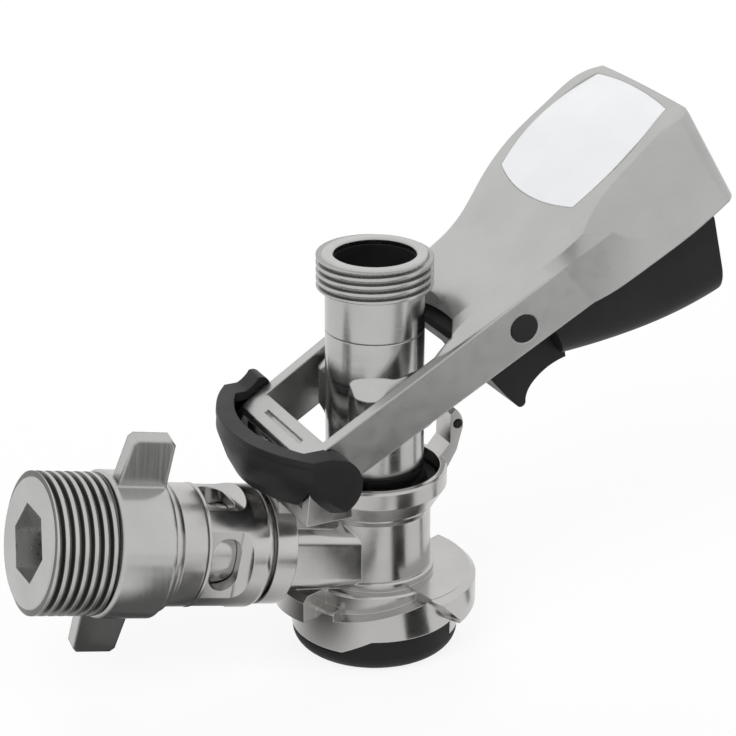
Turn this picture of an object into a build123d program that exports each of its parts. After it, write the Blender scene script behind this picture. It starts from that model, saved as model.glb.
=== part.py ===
"""Keg coupler: a lever-operated tap head that twists into a keg neck.

Frame: millimetres, +Z up along the probe, origin on the probe axis at the foot
of the bottom seal. The lever points to +X and the gas arm to -X. The lever
stands raised, with the probe drawn up.
"""
from build123d import *
from math import cos, radians, sin, sqrt, tan
import os

# ------------------------------------------------------------------ fits
RUN_FIT = 0.05          # radial clearance of a pin in its bush
GUIDE_GAP = 0.25        # radial clearance of the probe in the body bore
SEAT_GAP = 0.1          # gap where one still piece seats in another
MOVE_GAP = 0.35         # gap between pieces that pass each other

# ------------------------------------------------------------------ probe
PROBE_R = 11.25         # outside radius of the probe tube
PROBE_TOP = 96.0        # height of the outlet face, lever raised
OUTLET_BORE_R = 9.3     # bore of the beer outlet
NIPPLE_LENGTH = 18.0    # outlet nipple, from its seam to the outlet face
COLLAR_R = 13.22        # outlet collar that the beer-line nut screws on
COLLAR_LENGTH = 7.7
PROBE_FOOT = 34.0       # where the wide tube ends and the stem begins
STEM_R = 8.4            # slim stem that reaches into the keg valve
STEM_BORE_R = 6.0
STEM_FOOT = 1.2
SADDLE_HALF = 13.8      # half width of the saddle across the drive pins
SADDLE_DEPTH = 19.0     # saddle size along the lever
DRIVE_PIN_R = 2.0
BALL_R = 6.8
BALL_LIFT = 4.0
BALL_SEAT_Z = 41.0
RETAINER_THICK = 1.8

# ------------------------------------------------------------------ body
SKIRT_R = 19.4
SKIRT_FOOT = 4.5        # lower edge of the metal skirt
SKIRT_WALL = 1.6
LUG_R = 23.5            # outside radius of the two locking lugs
LUG_FOOT = 11.0
LUG_TOP = 18.4
LUG_START = -60.0       # plan angles where the foot of the first lug begins and ends
LUG_END = 20.5
LUG_RAMP = 4.0          # slope of the lug's underside, degrees
LUG_LEAN = 20.0         # degrees by which the leading end leans back at the top
STEP_A_TOP = 14.4
STEP_B_R = 16.1
STEP_B_TOP = 18.0
RING_R = 13.7
FIN_START = -145.0      # plan angle where the ramp that climbs to the lug begins
FIN_FOOT = 11.2         # height of the ramp there
SCALLOP_TOP = 8.2       # top of the cut-outs in the skirt that show the seal
SCALLOP_START = -142.0  # plan angles where the cut-out begins and ends
SCALLOP_END = -52.0
SCALLOP_RUN = 24.0      # degrees over which it rises to its top
WAIST_R = 12.9
WAIST_FOOT = 20.2
CONE_FOOT = 34.2
RIM_R = 16.6
RIM_FOOT = 40.2
RIM_TOP = 44.3
CUP_R = 15.0
CUP_FLOOR = 39.0
SEAL_TOP = 10.0         # top of the seal's seat in the skirt
SEAL_INNER_R = 9.9
WIPER_HEIGHT = 2.0
CATCH_HALF = 3.5        # half width of the catch that the trigger locks on
CATCH_PIN_R = 1.1

# ------------------------------------------------------------------ lever hinge
PIVOT_X = -21.5
PIVOT_Z = 52.5
HINGE_PIN_R = 2.5
BUSH_WALL = 1.0
EAR_R = 4.8
EAR_GAP = 0.75          # from the lever rail to the ear
EAR_THICK = 3.2
LEVER_TILT = 30.6       # rise of the raised lever, and its travel to level
PIN_ANGLE = 23.5        # drive pin above the hinge, lever raised, degrees
YOKE_THICK = 2.8        # plate under the rails that carries the ears
YOKE_FRONT = -27.4
YOKE_BACK = -16.2
PEDESTAL_HALF = 7.5
CHEEK_WALL = 2.4
CHEEK_R = 6.7           # rounded rear end of the guard's cheeks
GUARD_TOP = 59.6
GUARD_FOOT = 46.8
GUARD_R = 33.1          # outside radius of the guard's front wall
GUARD_X = -5.2          # centre of that radius
GUARD_INNER_R = 35.0
GUARD_DEPTH = 6.6       # from the front of the guard back to its inner face
GUARD_INNER_X = GUARD_X - GUARD_R + GUARD_DEPTH + GUARD_INNER_R
GUARD_WALL = 1.8
HORN_RISE = 2.6         # small horn on the top of the guard's far cheek

# ------------------------------------------------------------------ lever
RAIL_HALF = 17.95       # outside half width of the fork at the hinge
RAIL_TAPER = 0.04       # widening of each rail per millimetre of length
RAIL_WALL = 2.9
RAIL_TOP = 5.5
RAIL_END_DROP = 1.4     # how much deeper the rail is at the grip
RAIL_LENGTH = 76.0
SLOT_GAP = 0.55         # room round a drive pin in its slot
BAR_END = 4.8           # inner edge of the cross bar at the hinge end
BAR_THICK = 2.4
WINDOW_END = 46.7
WINDOW_HALF = 13.9
GRIP_END = 116.3
GRIP_WALL = 2.4
GRIP_CROWN = 0.9
END_BULGE = 2.1         # how far the grip's end bows out
LABEL_LENGTH = 34.8
LABEL_MARGIN = 4.1      # from the label to the grip's end
LABEL_DEPTH = 0.6
TRIGGER_PIN_U = 56.0
TRIGGER_PIN_V = -1.0
TRIGGER_PIN_R = 2.2
TRIGGER_CAP_R = 3.3
TRIGGER_HALF = 10.5
UNDER_GRIP_HALF = 17.2
UNDER_GRIP_FILLET = 8.5
HEEL_GAP = 7.9          # from the grip's end to the heel of the under grip

# Sections of the grip, each across the lever. The first value is the place
# along the grip, from 0 at the window to 1 at the end. The others are
# foot half width, foot height, rail half width, rail height,
# bevel half width, bevel height, ridge half width, ridge height.
GRIP_SECTIONS = [
    (-0.18, 18.6, 3.5, 18.9, 4.4, 17.2, 4.8, 15.6, 5.0),
    (-0.07, 19.0, 3.0, 19.2, 4.9, 16.6, 7.2, 14.4, 8.0),
    (0.05, 19.4, 2.5, 19.6, 5.1, 16.6, 8.1, 14.2, 9.0),
    (0.16, 19.8, 0.0, 20.0, 5.2, 17.4, 7.9, 15.7, 8.8),
    (0.28, 20.3, -4.5, 20.4, 5.3, 19.0, 8.2, 17.3, 9.7),
    (0.42, 21.1, -7.4, 21.3, 5.5, 21.9, 10.0, 20.2, 12.4),
    (0.59, 21.2, -8.4, 22.1, 5.6, 23.2, 13.3, 21.7, 15.3),
    (0.77, 21.0, -9.0, 21.9, 5.8, 22.7, 15.9, 21.1, 17.2),
    (0.94, 19.9, -9.1, 20.5, 6.0, 20.6, 16.7, 18.9, 17.7),
    (1.11, 18.6, -9.1, 19.0, 6.0, 18.6, 16.7, 17.0, 17.6),
]

# Half width of the label, from its front end 0 to its rear end 1
LABEL_SECTIONS = [(0.09, 16.6), (0.25, 18.0), (0.42, 18.6), (0.59, 18.3), (0.79, 17.2), (0.97, 15.2)]

# Depth of the under grip below the lever's axis, along the grip as above
UNDER_SECTIONS = [(0.2, -17.6), (0.36, -23.0), (0.51, -27.2), (0.65, -30.2), (0.78, -32.0), (0.97, -33.2)]

# ------------------------------------------------------------------ gas arm
ARM_TILT = 12.6         # rise of the arm, degrees
ARM_ROOT_Z = 23.3       # where the arm's axis meets the probe axis
NECK_R = 13.3
NECK_START = 26.7
NECK_END = 31.7
BOSS_START = 6.0
BOSS_FLATS = 20.0       # hexagonal boss between the waist and the neck
BOSS_FILLET = 3.0
CAGE_R = 14.0
CAGE_FLAT = 11.5        # from the arm's axis to a flat of the vent cage
CAGE_GAP = 0.5          # line between the neck and the vent cage
BEAD_LENGTH = 6.2
CAGE_LENGTH = 16.6
CAGE_BORE_R = 9.6
CAGE_SPIGOT_R = 11.5
CAGE_SPIGOT = 4.0
SLOT_WIDTH = 7.0
SLOT_HEIGHT = 12.5
GAS_COLLAR_R = 13.9
GAS_COLLAR_LENGTH = 6.4
SPIGOT_R = 9.4
SPIGOT_LENGTH = 5.8
SPIGOT_LIP_R = 11.5
SPIGOT_LIP = 2.0
SPIGOT_BORE_R = 6.2
NUT_GAP = 0.4           # line between the collar and the wing nut
NUT_STEP = 2.0
NUT_LENGTH = 15.0
WING_R = 16.5
STEP_R = 15.2
WING_TIP_R = 28.5
WING_THICK = 3.6
WING_TURN = 12.0        # turn of the wings away from upright, degrees
STUB_R = 15.9
STUB_LENGTH = 15.5
STUB_NECK_R = 14.1
HEX_FLATS = 15.6
HEX_DEPTH = 9.0
GAS_BORE_R = 4.5

# ------------------------------------------------------------------ derived
BORE_R = PROBE_R + GUIDE_GAP
SEAL_SEAT_R = SKIRT_R - SKIRT_WALL
LUG_LEAN_RUN = LUG_R * sin(radians(LUG_LEAN))
PIN_Z = PIVOT_Z - PIVOT_X * tan(radians(PIN_ANGLE))
PIN_Z_LOW = PIVOT_Z - PIVOT_X * tan(radians(PIN_ANGLE - LEVER_TILT))
LINER_R = PROBE_R - 1.1
SADDLE_TOP = PIN_Z + 4.2
SADDLE_FOOT = PIN_Z - 4.4
BALL_Z = BALL_SEAT_Z + 0.1 + sqrt(BALL_R ** 2 - (STEM_BORE_R + 0.3) ** 2)
LINER_FOOT = BALL_Z + BALL_R + BALL_LIFT + 0.3 + RETAINER_THICK
BUSH_R = HINGE_PIN_R + BUSH_WALL
EAR_INNER = RAIL_HALF + EAR_GAP
EAR_OUTER = EAR_INNER + EAR_THICK
CHEEK_INNER = EAR_OUTER + SEAT_GAP
CHEEK_OUTER = CHEEK_INNER + CHEEK_WALL
YOKE_TOP = PIVOT_Z - RAIL_TOP - 2 * MOVE_GAP
GRIP_LENGTH = GRIP_END - WINDOW_END
LABEL_END = GRIP_END - LABEL_MARGIN
LABEL_START = LABEL_END - LABEL_LENGTH
CAGE_START = NECK_END + CAGE_GAP
BEAD_END = CAGE_START + BEAD_LENGTH
CAGE_END = CAGE_START + CAGE_LENGTH
COLLAR_END = CAGE_END + GAS_COLLAR_LENGTH
SPIGOT_END = COLLAR_END + SPIGOT_LENGTH
WING_START = COLLAR_END + NUT_GAP
WING_STEP = WING_START + NUT_STEP
WING_END = WING_START + NUT_LENGTH
STUB_END = WING_END + STUB_LENGTH

# ------------------------------------------------------------------ planes
TILT = radians(LEVER_TILT)
LEVER_U = Vector(cos(TILT), 0, sin(TILT))       # along the lever
LEVER_V = Vector(-sin(TILT), 0, cos(TILT))      # square to it, upwards
PIVOT = Vector(PIVOT_X, 0, PIVOT_Z)
ARM = radians(ARM_TILT)
ARM_DIR = Vector(-cos(ARM), 0, sin(ARM))
ARM_ROOT = Vector(0, 0, ARM_ROOT_Z)
ARM_AXIS = Axis(ARM_ROOT, ARM_DIR)

lever_side = Plane(origin=PIVOT, x_dir=LEVER_U, z_dir=(0, -1, 0))
arm_side = Plane(origin=ARM_ROOT, x_dir=ARM_DIR, z_dir=(0, 1, 0))


def lever_plan(height):
    """Plane along the lever at a height above the hinge, seen from above."""
    return Plane(origin=PIVOT + LEVER_V * height, x_dir=LEVER_U, z_dir=LEVER_V)


def lever_section(distance):
    """Plane across the lever at a distance from the hinge."""
    return Plane(origin=PIVOT + LEVER_U * distance, x_dir=(0, 1, 0), z_dir=LEVER_U)


def arm_section(distance):
    """Plane across the gas arm at a distance from the probe axis."""
    return Plane(origin=ARM_ROOT + ARM_DIR * distance, x_dir=(0, -1, 0), z_dir=ARM_DIR)


def arm_side_turned(angle, distance=0):
    """Plane along the arm, turned about the arm's axis by an angle in degrees."""
    turn = radians(angle)
    facing = Vector(-sin(ARM) * sin(turn), cos(turn), -cos(ARM) * sin(turn))
    return Plane(origin=ARM_ROOT + ARM_DIR * distance, x_dir=ARM_DIR, z_dir=facing)


def rail_half(distance):
    """Outside half width of the fork at a distance from the hinge."""
    return RAIL_HALF + RAIL_TAPER * distance


def along_grip(share):
    """Distance from the hinge of a place along the grip, 0 at the window and 1 at the end."""
    return WINDOW_END + share * GRIP_LENGTH


def round_the_probe(angle):
    """Upright plane through the probe axis at a plan angle in degrees, with x outwards."""
    turn = radians(angle)
    return Plane(origin=(0, 0, 0), x_dir=(cos(turn), sin(turn), 0), z_dir=(sin(turn), -cos(turn), 0))


def tangent_to_probe(angle, height):
    """Upright plane square to a plan angle, with x to the right of the probe's outside."""
    turn = radians(angle)
    return Plane(origin=(0, 0, height), x_dir=(-sin(turn), cos(turn), 0), z_dir=(cos(turn), sin(turn), 0))


def in_lever(x, z, tilt):
    """Place of a point of the XZ plane in the lever's own u, v axes."""
    dx, dz = x - PIVOT_X, z - PIVOT_Z
    return Vector(dx * cos(tilt) + dz * sin(tilt), dz * cos(tilt) - dx * sin(tilt))


pin_high = in_lever(0, PIN_Z, TILT)
pin_low = in_lever(0, PIN_Z_LOW, 0)
DRIVE_PIN_END = rail_half(pin_low.X) - 1.25
CAP_SEAT = rail_half(TRIGGER_PIN_U) - 0.8


def grip_solid(shrink=0.0, roof=0.0, open_foot=0.0, first=0):
    """Loft of the grip through its sections.

    shrink narrows every half width, roof lowers the top, open_foot drops the
    foot, and first is the number of the first section that is used.
    """
    with BuildPart() as solid:
        for share, foot_w, foot_v, rail_w, rail_v, bevel_w, bevel_v, ridge_w, ridge_v in GRIP_SECTIONS[first:]:
            with BuildSketch(lever_section(along_grip(share))):
                with BuildLine():
                    crown = (0, ridge_v - roof + GRIP_CROWN)
                    left = (-ridge_w + shrink, ridge_v - roof)
                    right = (ridge_w - shrink, ridge_v - roof)
                    ThreePointArc(left, crown, right)
                    Polyline(right, (bevel_w - shrink, bevel_v - roof), (rail_w - shrink, rail_v - roof),
                             (foot_w - shrink, foot_v - open_foot), (-foot_w + shrink, foot_v - open_foot),
                             (-rail_w + shrink, rail_v - roof), (-bevel_w + shrink, bevel_v - roof), left)
                make_face()
        loft()
    return solid.part


def save(piece, name):
    """Label a finished piece and write it to its own file."""
    piece.label = name
    export_step(piece, f"parts/{name}.step")


os.makedirs("parts", exist_ok=True)

# ------------------------------------------------------------------ body
lug_middle = (LUG_START + LUG_END) / 2
with BuildPart() as lug:
    with BuildSketch(round_the_probe(LUG_START - LUG_LEAN)):
        with BuildLine():
            Polyline((WAIST_R, LUG_FOOT - 3), (LUG_R - 1.2, LUG_FOOT - 3), (LUG_R, LUG_FOOT - 1.8),
                     (LUG_R, LUG_TOP - 1.4), (LUG_R - 1.4, LUG_TOP), (WAIST_R, LUG_TOP), close=True)
        make_face()
    revolve(axis=Axis.Z, revolution_arc=LUG_END - LUG_START + LUG_LEAN)
    with BuildSketch(tangent_to_probe(lug_middle, LUG_FOOT)):
        ramp_rise = 2 * LUG_R * tan(radians(LUG_RAMP))
        with BuildLine():
            Polyline((-2 * LUG_R, -ramp_rise), (2 * LUG_R, ramp_rise), (2 * LUG_R, -LUG_FOOT),
                     (-2 * LUG_R, -LUG_FOOT), close=True)
        make_face()
    extrude(amount=2 * LUG_R, mode=Mode.SUBTRACT)
    # the leading end leans back, to find its way under the keg's ears
    with BuildSketch(tangent_to_probe(LUG_START, LUG_FOOT)):
        with BuildLine():
            Polyline((0, -LUG_FOOT), (0, 0), (-LUG_LEAN_RUN, LUG_TOP - LUG_FOOT),
                     (-2 * LUG_R, LUG_TOP - LUG_FOOT),
                     (-2 * LUG_R, -LUG_FOOT), close=True)
        make_face()
    extrude(amount=2 * LUG_R, mode=Mode.SUBTRACT)

# Fin that climbs round the skirt to the lug's top
fin_middle = (FIN_START + LUG_START) / 2
fin_rise = (LUG_TOP - FIN_FOOT) / 2
with BuildPart() as fin:
    with BuildSketch(round_the_probe(FIN_START)):
        with BuildLine():
            Polyline((WAIST_R, FIN_FOOT - 2), (SKIRT_R, FIN_FOOT - 2), (SKIRT_R, LUG_TOP), (WAIST_R, LUG_TOP),
                     close=True)
        make_face()
    revolve(axis=Axis.Z, revolution_arc=LUG_START - FIN_START)
    with BuildSketch(tangent_to_probe(fin_middle, FIN_FOOT + fin_rise)):
        with BuildLine():
            Polyline((-SKIRT_R, -fin_rise), (SKIRT_R, fin_rise), (SKIRT_R, 2 * LUG_R), (-SKIRT_R, 2 * LUG_R),
                     close=True)
        make_face()
    extrude(amount=2 * LUG_R, mode=Mode.SUBTRACT)

# What the skirt's step loses over the low part of the fin
with BuildPart() as fin_cut:
    with BuildSketch(round_the_probe(FIN_START)):
        with BuildLine():
            Polyline((STEP_B_R, FIN_FOOT - 2), (SKIRT_R + 1, FIN_FOOT - 2), (SKIRT_R + 1, STEP_A_TOP + 1),
                     (STEP_B_R, STEP_A_TOP + 1), close=True)
        make_face()
    revolve(axis=Axis.Z, revolution_arc=(LUG_START - FIN_START) / 2)
    with BuildSketch(tangent_to_probe(fin_middle, FIN_FOOT + fin_rise)):
        with BuildLine():
            Polyline((-SKIRT_R, -fin_rise), (SKIRT_R, fin_rise), (SKIRT_R, -LUG_R), (-SKIRT_R, -LUG_R),
                     close=True)
        make_face()
    extrude(amount=2 * LUG_R, mode=Mode.SUBTRACT)


def scallop_block(inner, outer, foot, top):
    """One cut-out of the skirt, where the seal shows, between two radii."""
    run = SKIRT_R * radians(SCALLOP_RUN)
    with BuildPart() as block:
        with BuildSketch(round_the_probe(SCALLOP_START)):
            with BuildLine():
                Polyline((inner, foot), (outer, foot), (outer, top), (inner, top), close=True)
            make_face()
        revolve(axis=Axis.Z, revolution_arc=SCALLOP_END - SCALLOP_START)
        with BuildSketch(tangent_to_probe(SCALLOP_START + SCALLOP_RUN / 2, SKIRT_FOOT)):
            with BuildLine():
                Polyline((-run, top - SCALLOP_TOP - run / 4), (run / 2, top - SKIRT_FOOT),
                         (run / 2, 3 * SKIRT_R),
                         (-run, 3 * SKIRT_R), close=True)
            make_face()
        extrude(amount=2 * SKIRT_R, mode=Mode.SUBTRACT)
    return block.part


scallop = scallop_block(SEAL_SEAT_R - 1, SKIRT_R + 1, SKIRT_FOOT - 1, SCALLOP_TOP)

# Ears and the plate under the rails, cast with the body
with BuildPart() as yoke:
    with BuildSketch(Plane.XZ):
        with Locations((PIVOT_X, PIVOT_Z)):
            Circle(EAR_R)
        with BuildLine():
            Polyline((PIVOT_X - EAR_R, PIVOT_Z), (PIVOT_X + EAR_R, PIVOT_Z), (YOKE_BACK, YOKE_TOP - YOKE_THICK),
                     (YOKE_FRONT, YOKE_TOP - YOKE_THICK), close=True)
        make_face()
    extrude(amount=EAR_OUTER, both=True)
    with BuildSketch(Plane.XZ):
        with Locations((PIVOT_X, YOKE_TOP + EAR_R * 2)):
            Rectangle(6 * EAR_R, 4 * EAR_R)
    extrude(amount=EAR_INNER, both=True, mode=Mode.SUBTRACT)

with BuildPart() as coupler_body:
    with BuildSketch(Plane.XZ):
        cone_slope = (RIM_R - WAIST_R) / (RIM_FOOT - CONE_FOOT)
        line_z = CONE_FOOT + 1.8
        with BuildLine():
            Polyline((0, SKIRT_FOOT), (SKIRT_R - 0.4, SKIRT_FOOT), (SKIRT_R, SKIRT_FOOT + 0.4),
                     (SKIRT_R, STEP_A_TOP - 0.5), (SKIRT_R - 0.5, STEP_A_TOP), (STEP_B_R, STEP_A_TOP),
                     (STEP_B_R, STEP_B_TOP - 0.5), (STEP_B_R - 0.5, STEP_B_TOP), (RING_R, STEP_B_TOP),
                     (RING_R, WAIST_FOOT - 0.4), (RING_R - 0.4, WAIST_FOOT), (WAIST_R, WAIST_FOOT),
                     (WAIST_R, CONE_FOOT),
                     (WAIST_R + cone_slope * 1.5, line_z - 0.3), (WAIST_R + cone_slope * 1.5, line_z),
                     (WAIST_R + cone_slope * 2.1, line_z + 0.3), (RIM_R, RIM_FOOT),
                     (RIM_R, RIM_TOP - 0.5), (RIM_R - 0.5, RIM_TOP), (0, RIM_TOP), close=True)
        make_face()
    revolve(axis=Axis.Z)
    for turn in (0, 180):
        add(fin_cut.part.rotate(Axis.Z, turn), mode=Mode.SUBTRACT)
        add(fin.part.rotate(Axis.Z, turn))
        add(lug.part.rotate(Axis.Z, turn))
    with BuildSketch(arm_section(NECK_START)):
        Circle(NECK_R)
    extrude(amount=NECK_END - NECK_START)
    with BuildSketch(arm_section(BOSS_START)):
        RegularPolygon(radius=BOSS_FLATS / 2, side_count=6, major_radius=False, rotation=30)
        fillet(vertices(), radius=BOSS_FILLET)
    extrude(amount=NECK_START - BOSS_START + 0.5)
    with BuildSketch(Plane.XZ):
        with BuildLine():
            Polyline((-WAIST_R, CONE_FOOT), (-WAIST_R, YOKE_TOP), (YOKE_FRONT, YOKE_TOP),
                     (YOKE_FRONT, ARM_ROOT_Z + NECK_R), (-NECK_START + 2, ARM_ROOT_Z + NECK_R / 2), close=True)
        make_face()
    extrude(amount=PEDESTAL_HALF, both=True)
    add(yoke.part)
    with BuildSketch(Plane.XZ):
        with BuildLine():
            catch_foot = Polyline((CUP_R, RIM_FOOT), (RIM_R, RIM_FOOT + 0.5), (RIM_R + 2.8, RIM_TOP + 1.2),
                                  (RIM_R + 4.3, RIM_TOP + 6.6))
            catch_tip = ThreePointArc(catch_foot @ 1, (RIM_R + 3.9, RIM_TOP + 9.4),
                                      (RIM_R + 2.4, RIM_TOP + 11.4))
            Polyline(catch_tip @ 1, (RIM_R + 1.2, RIM_TOP + 10.2), (RIM_R + 1.0, RIM_TOP + 3.0),
                     (CUP_R, RIM_TOP), catch_foot @ 0)
        make_face()
    extrude(amount=CATCH_HALF, both=True)
    # cup, guide bore and seal seat
    with BuildSketch(Plane.XZ):
        with BuildLine():
            Polyline((0, 0), (SEAL_SEAT_R, 0), (SEAL_SEAT_R, SEAL_TOP), (BORE_R, SEAL_TOP),
                     (BORE_R, CUP_FLOOR), (CUP_R, CUP_FLOOR), (CUP_R, YOKE_TOP + 4), (0,
                                                                                      YOKE_TOP + 4), close=True)
        make_face()
    revolve(axis=Axis.Z, mode=Mode.SUBTRACT)
    for turn in (0, 180):
        add(scallop.rotate(Axis.Z, turn), mode=Mode.SUBTRACT)
    # gas way from the neck down into the guide bore
    with BuildSketch(arm_section(BORE_R + 4)):
        Circle(GAS_BORE_R)
    extrude(amount=NECK_END, mode=Mode.SUBTRACT)
    with BuildSketch(arm_section(NECK_END - CAGE_SPIGOT - SEAT_GAP)):
        Circle(CAGE_SPIGOT_R + SEAT_GAP)
    extrude(amount=CAGE_SPIGOT * 2, mode=Mode.SUBTRACT)
    gas_turn = ARM_ROOT + ARM_DIR * (BORE_R + 5)
    with BuildSketch(Plane(origin=gas_turn, x_dir=(0, 1, 0), z_dir=(0.6, 0, -0.8))):
        Circle(GAS_BORE_R - 1.5)
    extrude(amount=BORE_R, mode=Mode.SUBTRACT)
    # holes for the hinge pin and the catch pin
    with BuildSketch(Plane.XZ):
        with Locations((PIVOT_X, PIVOT_Z)):
            Circle(HINGE_PIN_R + 0.02)
        with Locations((RIM_R + 3.0, RIM_TOP + 7.6)):
            Circle(CATCH_PIN_R + 0.02)
    extrude(amount=2 * EAR_OUTER, both=True, mode=Mode.SUBTRACT)
save(coupler_body.part, "coupler_body")

with BuildPart() as hinge_pin:
    with BuildSketch(Plane.XZ):
        with Locations((PIVOT_X, PIVOT_Z)):
            Circle(HINGE_PIN_R)
    extrude(amount=EAR_OUTER - SEAT_GAP, both=True)
    chamfer(hinge_pin.edges(), length=0.4)
save(hinge_pin.part, "hinge_pin")

with BuildPart() as catch_pin:
    with BuildSketch(Plane.XZ):
        with Locations((RIM_R + 3.0, RIM_TOP + 7.6)):
            Circle(CATCH_PIN_R)
    extrude(amount=CATCH_HALF + 0.4, both=True)
    chamfer(catch_pin.edges(), length=0.2)
save(catch_pin.part, "catch_pin")

seal_lobe = scallop_block(SEAL_SEAT_R - 1, SKIRT_R - 0.2, SKIRT_FOOT - 0.6, SCALLOP_TOP - SEAT_GAP)

with BuildPart() as bottom_seal:
    with BuildSketch(Plane.XZ):
        with BuildLine():
            seal_foot = Polyline((SEAL_SEAT_R - SEAT_GAP, SKIRT_FOOT - SEAT_GAP),
                                 (SKIRT_R - 0.2, SKIRT_FOOT - SEAT_GAP), (SKIRT_R - 0.2, SKIRT_FOOT - 1))
            seal_round = ThreePointArc(seal_foot @ 1, (SKIRT_R - 1.4, 1.1), (SKIRT_R - 4, 0))
            Polyline(seal_round @ 1, (SEAL_INNER_R + 1.2, 0), (SEAL_INNER_R, 1.2),
                     (SEAL_INNER_R, SEAL_TOP - SEAT_GAP),
                     (SEAL_SEAT_R - SEAT_GAP, SEAL_TOP - SEAT_GAP), seal_foot @ 0)
        make_face()
    revolve(axis=Axis.Z)
    for turn in (0, 180):
        add(seal_lobe.rotate(Axis.Z, turn))
save(bottom_seal.part, "bottom_seal")

with BuildPart() as probe_wiper:
    with BuildSketch(Plane.XZ):
        with BuildLine():
            Polyline((PROBE_R + 2 * RUN_FIT, CUP_FLOOR), (CUP_R - SEAT_GAP, CUP_FLOOR),
                     (CUP_R - SEAT_GAP, CUP_FLOOR + WIPER_HEIGHT - 0.6), (CUP_R - 0.7,
                                                                          CUP_FLOOR + WIPER_HEIGHT),
                     (PROBE_R + 1, CUP_FLOOR + WIPER_HEIGHT), (PROBE_R + 2 * RUN_FIT,
                                                               CUP_FLOOR + 1), close=True)
        make_face()
    revolve(axis=Axis.Z)
save(probe_wiper.part, "probe_wiper")

# Plastic guard that closes round the ears and the end of the lever
guard_axis = Axis((GUARD_X, 0, 0), (0, 0, 1))
guard_face = Plane(origin=(GUARD_X, 0, 0), x_dir=(1, 0, 0), z_dir=(0, -1, 0))
with BuildPart() as guard_hollow:
    with BuildSketch(guard_face):
        with BuildLine():
            Polyline((0, GUARD_FOOT - 3), (GUARD_R - 6.7, GUARD_FOOT - 3),
                     (GUARD_R - 2.5 - GUARD_WALL, GUARD_FOOT + 3.2),
                     (GUARD_R - GUARD_WALL, GUARD_TOP - 4.4), (GUARD_R - GUARD_WALL, GUARD_TOP - GUARD_WALL),
                     (0, GUARD_TOP - GUARD_WALL), close=True)
        make_face()
    revolve(axis=guard_axis)
    with BuildSketch(Plane.XY.offset(GUARD_FOOT - 4)):
        with Locations((GUARD_INNER_X, 0)):
            Circle(GUARD_INNER_R + GUARD_WALL - 0.3)
    extrude(amount=20, mode=Mode.SUBTRACT)
    with BuildSketch(Plane.XZ):
        with Locations((PIVOT_X - EAR_R - GUARD_R, GUARD_TOP)):
            Rectangle(2 * GUARD_R, 60)
    extrude(amount=EAR_INNER - 1.5, both=True, mode=Mode.INTERSECT)

with BuildPart() as hinge_guard:
    with BuildSketch(guard_face):
        with BuildLine():
            Polyline((0, GUARD_FOOT - 2), (GUARD_R - 6.4, GUARD_FOOT - 2), (GUARD_R - 2.5, GUARD_FOOT + 3.2),
                     (GUARD_R, GUARD_TOP - 4.4), (GUARD_R - 0.3, GUARD_TOP - 1.6), (GUARD_R, GUARD_TOP - 1.4),
                     (GUARD_R - 0.2, GUARD_TOP), (0, GUARD_TOP), close=True)
        make_face()
    revolve(axis=guard_axis)
    with BuildSketch(Plane.XZ):
        with Locations((PIVOT_X, PIVOT_Z)):
            Circle(CHEEK_R)
        with Locations((PIVOT_X - GUARD_R, (GUARD_TOP + GUARD_FOOT) / 2)):
            Rectangle(2 * GUARD_R, GUARD_TOP - GUARD_FOOT)
    extrude(amount=CHEEK_OUTER, both=True, mode=Mode.INTERSECT)
    with BuildSketch(Plane.XY.offset(GUARD_FOOT - 4)):
        with Locations((GUARD_INNER_X, 0)):
            Circle(GUARD_INNER_R)
        Rectangle(4 * GUARD_R, 2 * (EAR_INNER - SEAT_GAP), mode=Mode.INTERSECT)
    extrude(amount=30, mode=Mode.SUBTRACT)
    with BuildSketch(Plane.XZ):
        with BuildLine():
            Polyline((YOKE_FRONT - 2 * SEAT_GAP, 0), (YOKE_FRONT - 2 * SEAT_GAP, PIVOT_Z + EAR_R + SEAT_GAP),
                     (0, PIVOT_Z + EAR_R + SEAT_GAP), (0, 0), close=True)
        make_face()
    extrude(amount=CHEEK_INNER, both=True, mode=Mode.SUBTRACT)
    add(guard_hollow.part, mode=Mode.SUBTRACT)
    # horn on the far cheek, with a hollow rise in front of it
    with BuildSketch(Plane.XZ.offset(-CHEEK_OUTER)):
        with BuildLine():
            rise = ThreePointArc((PIVOT_X - EAR_R, GUARD_TOP - 0.4), (PIVOT_X - 1.2, GUARD_TOP + 0.5),
                                 (PIVOT_X + 1.0, GUARD_TOP + HORN_RISE))
            crest = ThreePointArc(rise @ 1, (PIVOT_X + 2.6, GUARD_TOP + HORN_RISE - 0.1),
                                  (PIVOT_X + 3.8, GUARD_TOP + 1.0))
            Polyline(crest @ 1, (PIVOT_X + 4.2, GUARD_TOP - 2.5), (PIVOT_X - EAR_R, GUARD_TOP - 2.0), rise @ 0)
        make_face()
    extrude(amount=CHEEK_OUTER - EAR_INNER - SEAT_GAP)
save(hinge_guard.part, "hinge_guard")

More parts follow.
